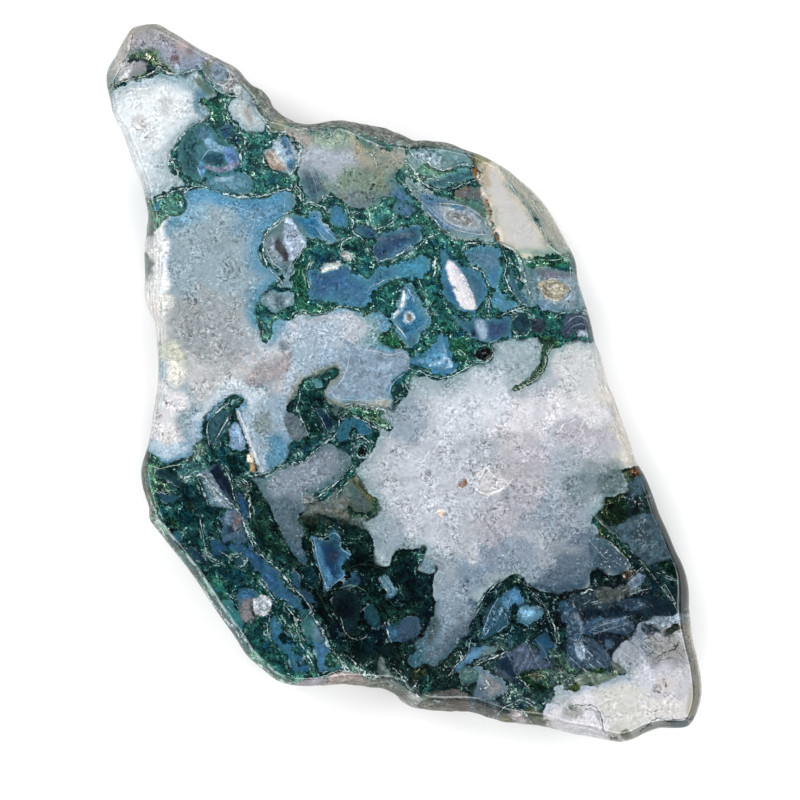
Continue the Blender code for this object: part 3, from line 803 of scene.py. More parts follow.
# The moss and blue pools of the upper middle.
UPPER_MIDDLE = """
agate #6b8096 #819cb5:
290 213 296 215 303 216 307 219 311 213 318 212 321 218 322 223 328 227 333 232 337 238 336 242
330 243 322 240 313 237 307 237 302 235 298 231 299 236 305 241 306 244 303 249 298 254 294 260
293 264 295 269 292 273 289 277 291 282 291 286 284 288 279 286 281 281 286 277 283 273 280 267
273 262 269 257 267 249 267 240 270 233 278 227 285 221 288 216
tint #2d698a 5 1.0:
293 216 303 216 312 211 319 212 323 222 334 232 338 241 326 241 308 237 300 231 297 226 291 224
tint #6290b5 1.5 0.8:
312 216 318 214 321 221 328 230 334 239 331 242 322 236 317 228 319 222
tint #8aa0b6 2 1.0:
285 228 296 236 303 240 303 246 297 252 289 253 283 246 282 236
tint #5f6a78 2 0.8:
269 236 276 234 282 244 289 260 282 264 274 258 268 250
wash #4a4a52 1 0.8:
275 241 279 239 284 247 288 258 285 262 279 254 274 247
crack 1.0:
292 230 290 234 294 237 297 234 295 230 292 230
quartz #6a8999 #6c8d9b:
263 297 268 293 274 290 280 292 286 291 291 292 294 297 294 303 289 306 282 308 276 312 270 310
265 306 262 301
agate #4b627b #697e95:
303 170 312 168 318 172 322 178 327 182 330 187 328 192 322 195 318 201 311 202 307 198 304 190
301 183 300 176
smoky #8d9791 #7d8a8b:
322 176 327 164 340 158 360 158 378 163 382 172 385 180 381 187 377 193 373 200 364 207 356 205
350 199 341 195 333 190 329 184
tint #4c546b 5 0.8:
350 196 360 193 372 192 376 197 366 206 356 205
agate #4a7fb8 #3c6d98:
330 205 334 207 339 207 343 211 346 216 348 221 345 226 340 228 335 226 331 222 329 218 331 212
agate #5b82ad #41688f:
376 194 383 186 390 181 396 180 400 186 406 193 412 199 412 204 404 200 396 196 388 197 380 198
agate #4f7199 #2f4e6e:
392 204 400 201 407 203 413 206 414 211 408 216 400 216 395 211
agate #304d70 #3f6990:
373 250 378 240 382 234 392 231 402 229 412 226 420 228 420 240 411 246 405 251 398 256 389 259
380 262 375 257
tint #436d8c 2 0.8:
378 248 386 242 395 246 398 254 385 258
tint #2a4568 2 0.9:
397 240 402 238 404 247 399 250
agate #2e486c #3c608a:
357 228 362 226 368 228 374 231 377 233 374 238 368 239 362 236 358 232
agate #41699b #4f86b4:
310 272 316 270 326 271 332 270 338 267 343 265 348 267 351 272 356 275 361 277 366 279 369 279
372 275 376 271 380 268 386 267 395 266 403 263 412 258 414 266 410 275 405 277 398 277 392 279
387 282 382 285 377 288 372 291 370 297 370 301 367 305 362 308 356 307 348 306 340 304 332 303
324 302 316 300 311 298 309 292 310 285 311 278
tint #34567c 5 0.6:
308 268 345 264 350 275 330 283 322 298 308 298
tint #437590 6 0.6:
330 292 372 285 368 306 332 304
shade #457468 5 0.8:
300 299 330 303 366 309 362 316 345 308 320 314 296 318
shade #2a5950 3 0.8:
292 272 300 255 308 243 313 250 309 262 306 275 309 290 304 298 297 290
shade #2d4f5f 3 0.9:
312 262 322 258 325 251 338 250 340 262 320 268 312 269
vein 3.2:
320 269 326 266 333 264 339 262
vein 3.4:
342 253 346 252 350 254 353 258 356 261
vein 2.0:
341 248 342 243 346 240 350 238
vein 1.6:
311 260 309 264 307 269 306 274 308 281 309 287
vein 1.6:
294 322 294 318 298 314 305 313 312 314 320 314 328 312 334 310 338 307 345 306 351 308 356 309
360 311 362 315
vein 2.4:
378 262 386 260 394 257 400 254 405 250 410 246
vein 1.5:
295 183 298 188 302 193 304 199 303 206
vein 1.5:
306 203 313 202 318 205 323 207 327 211 328 215
vein 1.5:
322 198 325 194 330 197 334 196
vein 1.4:
345 205 348 211 350 217 354 222 352 228 355 234 360 237 365 242 367 247 369 252 373 256 376 260
vein 1.2:
352 222 354 215 360 213
vein 1.2:
376 229 382 227 388 226
vein 1.3:
369 289 372 286 378 284 383 281 389 279
crack 1.3:
398 279 395 284 393 288
crack 1.2:
380 233 377 228 372 226
crack 1.4:
300 250 296 256 291 262 293 270 290 276 292 284
vein 2.4:
291 211 283 217 275 223 268 231 264 240 263 250 265 260 270 269 278 277 283 286
vein 1.2:
283 222 293 230 302 238 306 246 299 256 292 268
smoky #8d9791 #7d8a8b:
316 160 330 156 350 154 372 154 392 160 398 170 390 180 388 190 380 200 366 208 350 206 340 198 330 190
322 176
tint #a4adb8 6 1.0:
300 150 352 150 352 174 330 180 312 178 300 168
tint #9f9d90 6 1.0:
352 148 404 150 402 168 386 174 368 168 354 160
tint #7c8f83 7 1.0:
330 178 350 170 380 172 388 188 374 198 350 196 334 190
tint #8a8660 1.6 0.45:
375 164 379 164 383 176 384 190 381 193 378 184 375 174
tint #5f7078 5 0.9:
344 196 366 192 384 192 380 204 362 210 348 206
line 1.0 #94875a:
378 166 382 176 383 188
shade #527f82 2.5 0.9:
372 204 382 200 392 202 397 209 395 219 388 227 378 231 371 227 368 218 368 209
vein 2.4:
370 211 370 221 375 229 384 227
vein 1.4:
384 227 392 223 396 216
line 1.6 #14241f:
374 201 384 197 394 199
patch #e4ebe8:
320 268 326 264 334 264 339 262 338 267 330 270 323 271
patch #e4ebe8:
341 254 347 251 352 256 350 260 344 259
tint #7f939e 3 0.9:
266 294 292 292 294 303 276 310 266 304
druse 0.45:
268 296 280 292 292 294 292 304 278 308 268 304
line 1.6 #101c26:
398 240 402 240 403 245 399 247 397 243
line 1.2 #9cb8d2:
322 222 326 230 334 238
line 1.2 #9cb8d2:
326 230 332 228
wash #5a6c7c 2 0.5:
376 236 392 234 408 232 414 236 404 240 392 242 380 246
tint #4f7898 3 0.7:
384 262 390 250 404 244 414 246 408 254 396 260
tint #2f4563 3 0.8:
374 254 380 242 390 236 396 244 388 254 380 258
calm 8 0.55:
300 152 330 150 380 150 402 156 398 168 372 172 330 176 306 172
grain 4 0.28:
308 284 330 268 372 282 412 262 420 268 400 280 372 296 340 304 312 298
agate #6f8293 #617487:
263 238 270 230 280 222 288 216 294 222 300 234 306 243
301 252 294 260 288 268 283 273 276 267 268 260 264 250
tint #8494a0 2 0.8:
264 240 274 234 280 246 284 258 280 266 270 260 265 250
patch #a9bbd2:
287 218 293 222 299 233 305 243 299 252 291 261 287 256 285 242 283 230
patch #50525c:
275 240 279 238 283 245 288 256 288 262 283 258 278 249
line 1.0 #cddbe2:
264 240 270 231 280 223 287 216
line 1.0 #c3d3dc:
267 250 272 261 280 268 284 273
line 1.1 #d5e0e8:
305 243 300 252 293 261 288 269
line 1.2 #2d4252:
282 226 288 232 287 240
line 1.0 #6f8298:
291 240 295 246 292 252
druse 0.7:
266 248 272 242 278 252 282 262 276 266 270 260
tint #42575f 2 0.9:
276 296 282 294 285 302 281 309 276 306
shade #365e5c 3 0.6:
300 312 320 306 350 303 368 308 364 316 345 310 320 315 302 318
line 1.0 #9fb9c6:
308 225 316 228 322 236 330 242
line 1.0 #b5cbd6:
318 214 322 222 330 226
shade #4a706e 2 0.4:
372 206 382 202 392 204 396 212 392 222 382 228 374 224 370 214
tint #6a7a70 6 0.5:
374 160 404 160 400 180 386 198 360 200 360 180
shade #8ba6a2 4 0.55:
402 160 430 157 454 163 450 178 424 184 408 177
"""

# The banded eye, the blue pools and the beige corner.
UPPER_RIGHT = """
agate #6f8496 #8f9aa6:
406 178 412 181 418 185 424 189 430 192 436 195 443 198 450 199 458 200 466 200 474 202 481 205
485 211 486 218 489 224 492 230 494 236 490 239 480 240 470 240 461 238 453 235 446 232 440 228
434 222 428 215 424 208 421 201 415 195 408 187
tint #4d7193 2 0.9:
421 192 432 196 446 200 440 205 434 207 430 206 434 213 440 219 446 224 452 229 449 232 440 227
432 219 426 210 422 201
tint #7b93a5 1.5 0.8:
432 208 438 206 446 209 450 218 456 226 466 231 478 233 488 236 478 238 464 236 452 231 442 222
436 215
tint #7e92a0 3 0.9:
450 204 468 206 480 214 486 226 488 234 474 230 466 224
tint #3b604e 3 0.9:
458 200 470 202 482 205 486 214 484 220 478 214 470 208 460 205
tint #427395 2 0.8:
446 202 456 204 464 208 462 211 452 208
quartz #98989a #a1acb7:
441 208 447 208 455 211 463 212 470 214 476 218 480 223 478 228 470 229 462 227 455 224 448 220
444 215
line 1.0 #a9b0b4:
447 214 450 220 456 224 464 225
smoky #646468 #70665c:
455 193 462 189 470 187 477 186 481 191 483 198 484 203 477 201 468 199 459 198
smoky #cfcacd #d8cdbf:
480 165 500 165 505 175 512 187 520 198 530 210 537 222 543 233 549 243 556 250 572 252 572 258
545 257 530 257 520 256 512 250 504 246 500 240 497 232 494 222 491 210 488 202 483 192 479 184
478 174
tint #f5e4d4 2 0.9:
478 184 484 193 490 203 494 213 497 224 501 234 505 243 514 250 512 253 503 247 498 239 494 228
490 216 486 204 480 194
tint #c9a77a 1.6 0.9:
484 196 488 203 491 212 492 222 489 222 486 212 483 203
tint #ac9b7f 3 0.8:
480 165 486 165 490 176 492 186 486 188 480 180
tint #8fa79c 4 0.8:
516 254 530 247 560 247 572 256 545 258 520 258
vein 1.2:
500 166 505 176 512 188 520 199 530 211 537 223 543 234 549 244
smoky #a8a598 #b5b2a8:
500 163 520 172 540 190 560 220 578 250 570 256 560 251 549 243 543 233 537 222 530 210 520 198
512 187 505 175
moss #38655c:
517 257 530 257 545 256 560 254 572 252 573 262 560 267 545 268 532 268 526 266 520 262
vein 1.4:
524 262 540 260 556 260 572 257
rust 3.0:
474 158 476 166 475 174 478 182 480 187
rust 2.4:
491 228 494 234 498 240 501 245
rust 1.6:
485 199 488 207 490 216
agate #4a76a6 #5b8fbc:
468 249 475 247 485 247 495 247 500 249 502 253 500 258 500 263 501 268 501 275 500 281 497 286
493 288 489 285 487 280 485 274 482 269 478 266 473 263 468 260 466 254
agate #5d8fc0 #5487b5:
493 296 496 292 500 294 505 297 510 300 515 303 515 308 510 310 504 311 499 312 496 308 493 302
agate #527fa5 #4173a0:
441 250 446 252 450 257 457 261 463 266 469 269 475 271 480 273 484 278 486 285 486 292 485 298
481 304 476 309 473 314 469 312 463 310 455 307 449 302 446 296 444 290 443 284 441 278 441 272
442 265 441 258
tint #245082 2.5 0.9:
446 282 450 286 455 292 457 300 452 301 447 294
tint #557186 3 0.8:
466 280 474 282 480 290 478 300 473 304 470 292
patch #e3e2e6:
447 264 449 261 452 262 456 266 460 271 464 278 468 285 471 292 474 299 476 305 474 309 469 309
463 307 459 304 457 299 455 293 453 290 455 289 453 286 451 283 448 276 447 270
tint #2f5c70 2 0.7:
470 276 478 278 482 286 480 296 476 300 474 290
agate #5196c2 #4b86b0:
396 268 400 263 405 261 410 259 416 258 422 255 427 257 430 260 430 265 428 270 424 275 419 278
413 278 406 275 400 275
agate #366d9a #6a93bb:
408 284 413 286 417 295 421 303 425 311 430 319 430 325 425 330 419 336 416 343 412 348 407 346
402 340 397 333 394 325 393 317 396 310 398 302 400 294 404 287
tint #97c1dc 2 0.9:
400 297 404 292 408 296 406 304 402 312 397 314 398 304
patch #a5c2d4:
403 318 405 313 409 311 413 313 415 318 412 323 407 324 404 322
patch #8a8079:
408 317 409.5 315.5 411 318 409.5 320.5 408 320
agate #355070 #466688:
510 270 513 272 514 278 517 285 521 292 526 299 530 305 526 305 520 299 515 292 511 284 509 277
agate #8f9cb8 #8398b2:
523 264 528 267 533 270 540 269 550 268 560 270 568 272 575 275 580 290 583 308 575 312 565 313
555 311 546 309 538 306 531 303 527 297 525 290 524 283 526 276 523 270
tint #706a78 2.5 0.9:
534 268 550 268 575 273 577 281 560 276 545 277 537 276
tint #6983a0 3 0.8:
528 280 534 285 538 296 550 304 575 309 560 312 540 308 530 300
druse 1:
534 280 540 278 549 277 558 279 566 281 571 286 570 292 564 298 558 303 550 300 544 296 538 290
vein 2.6:
513 264 518 267 521 272 522 278 525 284 526 289
vein 1.5:
402 177 407 186 414 194 420 200 424 207 427 212 433 218 438 224 442 229 450 233
vein 2.2:
465 247 466 244 472 243 480 243 490 244 496 243
vein 2.8:
502 244 508 247 514 250 517 255 519 261 521 266
vein 3.0:
435 259 434 265 436 270 434 275
vein 2.4:
472 267 478 269 483 272 486 278 488 284
vein 1.6:
408 165 412 170 418 177 424 184 430 187 438 190 446 190 455 188 463 184 470 182 475 180
vein 1.6:
420 176 428 178 436 180 444 182 452 183
vein 1.6:
502 250 506 258 506 266 505 274 507 282 510 289 516 296 522 301 528 307
vein 2.0:
500 316 506 313 512 311 518 309 524 307
vein 1.4:
404 257 412 253 418 248 422 243 426 239 432 236
vein 1.5:
419 280 422 287 424 295 428 301 430 308 434 314
vein 1.4:
486 295 489 302 488 309 490 316
agate #3f6479 #537b8c:
425 181 434 178 446 175 458 171 470 170 473 176 466 180 456 184 444 187 434 187
agate #32547c #43668c:
452 316 458 318 465 320 475 320 485 320 495 319 503 318 510 319 511 324 511 330 509 336 503 339
495 340 488 342 482 341 475 338 468 333 463 328 458 323
tint #91a7bc 2.5 1.0:
476 324 482 321 487 324 488 331 486 338 480 339 477 333
tint #384e6e 2.5 0.9:
488 324 504 323 506 333 492 335
patch #1b2436:
471 331 474 330 475 333 473 335
patch #3a4859:
563 322 566 316 572 313 580 312 586 315 589 322 588 328 582 329 575 332 568 336 564 336 562 330
line 1.4 #8fa3ae:
566 324 572 318 580 316 586 320
line 1.2 #7f949f:
568 332 574 326 582 324 588 326
agate #5f93c4 #3f74a8:
441 333 446 338 449 346 450 353 452 360 456 366 452 372 444 374 436 372 428 368 418 366 409 364 408 359
417 356 426 352 432 346 437 339
wash #a9c6da 1.6 0.42:
443 340 447 348 448 356 452 364 450 369 442 370 434 366 428 366 432 360 440 358 442 350
wash #b3cde0 1.4 0.4:
412 361 420 359 426 361 422 364 414 364
shade #305e50 3 0.8:
448 340 458 336 468 344 474 352 466 362 458 360 452 352
patch #0a0f12:
475 356 479 351 485 349 490 351 491 356 486 360 479 360
vein 2.6:
461 351 465 355 469 360
vein 1.6:
474 361 480 363 488 361 493 355
vein 2.0:
407 367 413 370 421 372 430 376 440 378 450 376 460 372 468 367 476 363
line 3.4 #2b473a:
543 338 546 348 543 358 538 368 530 377 521 384 511 391
patch #1f3b45:
514 317 520 314 528 316 531 323 528 331 520 335 514 330
patch #2a3640:
532 320 538 317 544 320 545 328 540 333 533 331
vein 1.8:
512 316 519 312 528 313 532 319
vein 1.6:
513 331 519 336 527 334 531 329
patch #a39f8c:
538 284 546 280 556 280 565 284 569 289 565 296 558 301 549 300 542 295
druse 1:
536 282 546 278 556 278 566 282 571 289 567 297 558 303 548 302 540 296
line 0.9 #b5bac8:
453 266 460 280 466 294 470 305
line 0.9 #a9b0bd:
451 268 457 283 462 297 466 307
line 2.4 #24384a:
456 289 458 291
line 0.9 #8b97aa:
459 267 466 282 472 298
agate #7d93a8 #5f7f92:
521 262 528 266 533 274 537 284 538 295 536 304 531 308 528 300 526 288 522 276
vein 2.8:
506 246 513 249 518 256 522 265 525 276 528 288 532 300
line 1.1 #bcc5cc:
424 203 432 212 442 221 454 229 470 233 488 235
line 1.0 #c9cfd2:
436 203 450 204 464 206 476 212 484 220 488 228
wash #5e5f5c 1.4 0.5:
450 216 458 213 468 216 474 222 466 224 456 222
calm 5 0.85:
484 166 502 168 516 184 532 202 546 222 558 244 572 258 530 258 514 252 502 238 492 214 486 192
line 0.9 #9fa9ba:
456 266 463 280 469 293 473 303
calm 1.5 0.8:
446 261 452 260 462 270 470 282 478 300 476 312 462 310 452 292 446 276
tint #45626a 3 0.7:
462 256 474 254 476 264 466 268
tint #5c7c90 4 0.7:
474 252 496 252 500 262 490 268 478 266
patch #8a8079:
408 317 410 316 411 319 409.5 321 408 320
wash #eef2f6 1.2 0.75:
401 294 404 290 405 298 404 305 400 307
wash #dfe9f2 1.2 0.6:
394 312 398 308 401 312 397 318 394 320
line 1.0 #e6ecf2:
397 326 402 332 406 338
line 1.0 #d9e6f0:
407 288 411 294 414 300
tint #2c3f58 2 0.6:
404 341 412 338 414 346 409 349
wash #c6c1b6 1.8 0.45:
482 194 490 196 498 222 506 244 500 246 490 228 484 210
"""

# The pools and needles left of the large quartz.
MIDDLE = """
agate #244560 #1c394e:
208 425 211 421 215 417 219 416 222 419 221 425 219 430 217 435 215 440 211 441 209 436 207 431
agate #7fa0c4 #688cb0:
233 424 237 423 239 428 242 434 245 441 248 447 248 451 243 450 238 449 233 449 231 444 231 437
232 430
patch #bccad3:
236 410 238 412 242 421 246 431 250 441 254 451 258 461 262 470 259 471 255 462 251 452 247 442
243 431 239 421
patch #ece0cc:
248 456 251 454 253 457 254 461 252 463 249 461
patch #a98f6d:
251 464 254 463 256 467 254 471 251 470
agate #6f9fb0 #5f8fa5:
314 382 316 379 320 380 322 383 319 388 316 386
agate #0f2440 #0b1d32:
316 410 320 408 325 412 330 418 334 424 333 430 329 433 325 430 321 424 317 417
vein 1.2:
317 412 321 418 325 426 328 431
agate #525a5e #485156:
332 408 338 407 343 409 340 413 337 418 334 414
agate #2d6385 #285575:
336 437 337 431 340 425 344 421 350 420 356 419 362 420 366 423 368 428 371 431 376 432 370 434
362 435 358 432 354 428 350 429 348 434 348 440 344 442 339 441
shade #4a7468 2.5 0.8:
345 407 352 404 362 408 374 409 384 411 388 418 393 424 388 428 380 427 372 422 364 418 352 416
344 412
shade #4d5b59 3 0.7:
366 412 376 414 384 422 376 424 368 418
vein 1.8:
268 474 274 471 282 468 290 464 298 462 305 460 311 454 317 449 323 443 331 439
vein 1.6:
331 440 336 434 339 427 339 420 342 416 347 412 352 408
vein 1.4:
352 404 360 408 370 409 380 410 388 408 394 403 400 398
vein 1.8:
405 384 408 390
vein 1.3:
384 410 388 416 392 422 388 427 380 428 374 424
vein 1.3:
360 444 357 450 358 456 364 457 367 452 366 447 362 444
vein 2.4:
296 450 299 455 301 460
vein 1.6:
298 384 300 392 299 400 297 408 301 418 305 426 308 434
patch #08130f:
358 452 362 446 366 450 366 455 361 457
quartz #63757e #5a6f78:
331 445 336 448 342 451 348 455 351 460 350 466 345 472 340 478 334 484 328 486 320 490 313 494
314 499 318 504 312 503 308 507 304 512 299 514 297 520 300 525 302 531 301 540 302 548 305 555
306 562 303 563 299 560 294 554 290 547 286 540 282 532 280 528 277 524 275 517 272 510 269 503
264 495 259 488 255 482 252 479 258 478 265 478 272 475 280 470 290 467 300 464 306 461 312 456
318 450 325 445
tint #284d60 4 1.0:
284 530 300 534 308 560 304 566 292 556 284 542
tint #90a7b6 3 0.7:
310 470 318 466 320 480 312 484
tint #8b8a84 4 0.8:
302 512 306 502 314 498 322 502 322 512 312 512
smoky #6f716a #5c615a:
305 513 310 504 318 503 326 506 334 500 342 492 350 480 354 488 350 500 346 508 350 516 344 520
330 517 318 513
smoky #4e5c5e #4a5242:
352 486 356 484 362 490 366 496 372 502 374 508 366 512 356 510 350 506 349 498 350 490
shade #44605a 2.5 0.8:
366 498 373 498 380 504 378 514 368 520 352 521 345 512 352 514 364 515 371 510
shade #6b6650 2 0.8:
353 476 359 477 365 490 372 498 368 500 360 490 354 482
vein 2.0:
352 466 347 472 343 477 338 482
vein 2.2:
346 484 341 490 337 494
agate #1e4168 #3e6f98:
311 537 315 538 322 540 327 541 331 537 331 532 335 531 338 533 340 537 339 543 340 548 344 550
347 550 349 554 348 558 344 561 341 565 343 570 346 573 345 577 340 580 335 583 331 586 328 590
325 590 323 585 322 578 319 572 318 566 316 559 314 552 313 545
tint #173352 4 0.9:
322 546 334 540 339 552 336 566 328 566
tint #2e333e 3 0.6:
330 552 338 552 338 560 332 560
vein 1.0:
336 534 340 540 339 547 343 549
vein 1.6:
312 542 314 552 317 562 320 570 323 578 326 588
agate #1f3b56 #2a4a66:
343 586 348 579 353 575 357 577 361 581 357 584 351 587 346 588
agate #5f87a4 #3f6684:
378 578 381 576 387 576 391 580 394 586 396 592 395 597 390 597 386 592 383 587 380 583
vein 1.4:
379 579 382 585 387 591 391 596
vein 1.2:
384 577 388 583 391 589
agate #315982 #2d4e78:
250 545 255 552 261 558 266 561 272 566 277 571 281 577 284 584 287 590 292 594 297 599 303 605
309 611 314 616 318 624 312 626 306 620 300 612 294 605 288 599 281 598 275 595 270 589 266 582
262 575 257 570 252 565 248 558
tint #2a5e60 3 0.9:
290 600 300 602 312 614 322 630 310 630 300 614
agate #2b496c #254262:
294 570 298 575 300 582 303 588 309 591 313 596 314 601 309 602 303 598 298 591 294 584 292 577
vein 1.3:
250 535 255 542 260 550 263 557 270 562 277 567 281 572 285 578 289 585 293 590
vein 1.8:
262 583 267 590 272 596 276 602
vein 2.0:
285 606 291 611 295 617 300 620 306 618 310 612
agate #1c4456 #173b4e:
365 616 367 607 371 604 375 608 378 616 380 624 377 630 371 626
patch #ddd8dc:
254 606 255 601 258 598 262 596 267 597 270 600 271 605 270 610 266 614 261 615 257 613 254 610
crack 1.2:
257 605 260 608 264 606 267 608
line 4.2 #17362f:
205 446 203 434 203 424 208 414 216 406 226 399 236 396 243 399
vein 1.4:
209 444 207 432 209 422 216 413 226 405 236 401
agate #35576a #2a4658:
210 418 220 410 228 408 230 416 226 428 220 438 214 444 209 440 208 428
line 1.6 #14262c:
226 412 222 424 216 436
vein 1.8:
229 414 225 424 219 434 214 444
patch #86a6c4:
231 426 240 424 243 434 244 446 238 448 232 446 230 436
line 1.1 #56768f:
234 426 237 446
line 1.0 #c8dcea:
238 426 241 447
line 3.4 #0a1216:
235 413 241 428 247 444 250 455
line 2.4 #dfe5e8:
239 412 245 428 252 446 259 464
vein 2.4:
248 476 262 474 275 470 290 466 302 463 310 455 320 446 332 438
patch #56646c:
286 420 296 416 304 424 306 434 298 440 290 436
tint #7f8b98 6 0.8:
280 468 310 455 335 450 342 462 324 480 300 500 285 505 268 490
druse 0.45:
298 466 312 458 326 460 328 474 316 486 302 484
tint #4f6374 5 0.9:
270 500 300 500 304 520 304 552 296 552 282 528 274 514
line 1.2 #9fc3dc:
314 540 317 556 322 574 328 588 336 582 344 576
line 1.2 #7fb0d4:
322 540 334 533 340 538 341 548 349 554
wash #667476 3 0.5:
300 516 308 506 320 500 332 492 346 484 352 494 344 508 330 514 316 512
wash #2a322c 2 0.5:
300 518 312 512 326 518 344 520 360 520 352 526 320 524 304 524
vein 1.6:
352 462 344 474 335 484 324 492 316 498
vein 1.8:
346 405 356 403 368 406 380 408 388 414 393 424 386 430 376 428 366 422 354 416 346 411
vein 1.6:
354 440 362 437 369 442 370 452 364 459 356 456 354 447
shade #0f2726 3 0.9:
300 514 312 514 316 530 312 548 306 560 300 556 304 540 302 526
grain 6 1.4:
304 452 336 446 346 462 330 478 308 482
grain 8 0.5:
262 484 300 488 304 512 300 548 282 526
tint #4f82a6 3 0.75:
311 537 318 538 322 548 327 566 334 580 344 572 350 576 340 586 329 592 322 582 316 562
line 1.0 #b9cbd8:
380 578 384 587 389 595
line 1.2 #1d3448:
384 577 388 586 393 594
line 1.0 #9db8cc:
388 577 391 584 395 591
line 1.2 #24392f:
344 572 354 566 366 564 380 568 392 573
line 1.4 #223a2c:
312 570 317 590 326 608 334 624
line 1.0 #6b8a78:
340 588 352 585 364 590
line 1.2 #2f5068:
388 600 396 606 404 604
line 1.2 #243f31:
364 588 371 600 377 612 380 624
agate #06121c #07191e:
331 604 334 596 340 591 348 590 355 593 359 600 360 610 359 620 356 630 350 637 343 630 337 618
tint #0e252c 3 0.8:
344 622 352 618 358 624 354 634 346 632
line 1.2 #8a8368:
343 628 346 634 351 638 357 640
shade #123038 4 0.8:
362 580 376 584 380 600 376 612 364 606 360 592
shade #0c1f2c 4 0.8:
372 626 384 622 388 640 380 652 368 646
shade #1a3a44 4 0.7:
306 566 314 566 318 580 314 590 306 584
tint #4c6068 4 0.7:
262 496 290 500 302 516 300 548 290 544 276 520
wash #6a7a7c 3 0.4:
350 512 368 512 378 520 372 530 352 528
shade #17363a 4 0.75:
298 398 320 398 326 418 322 440 304 442 300 425 296 410
"""
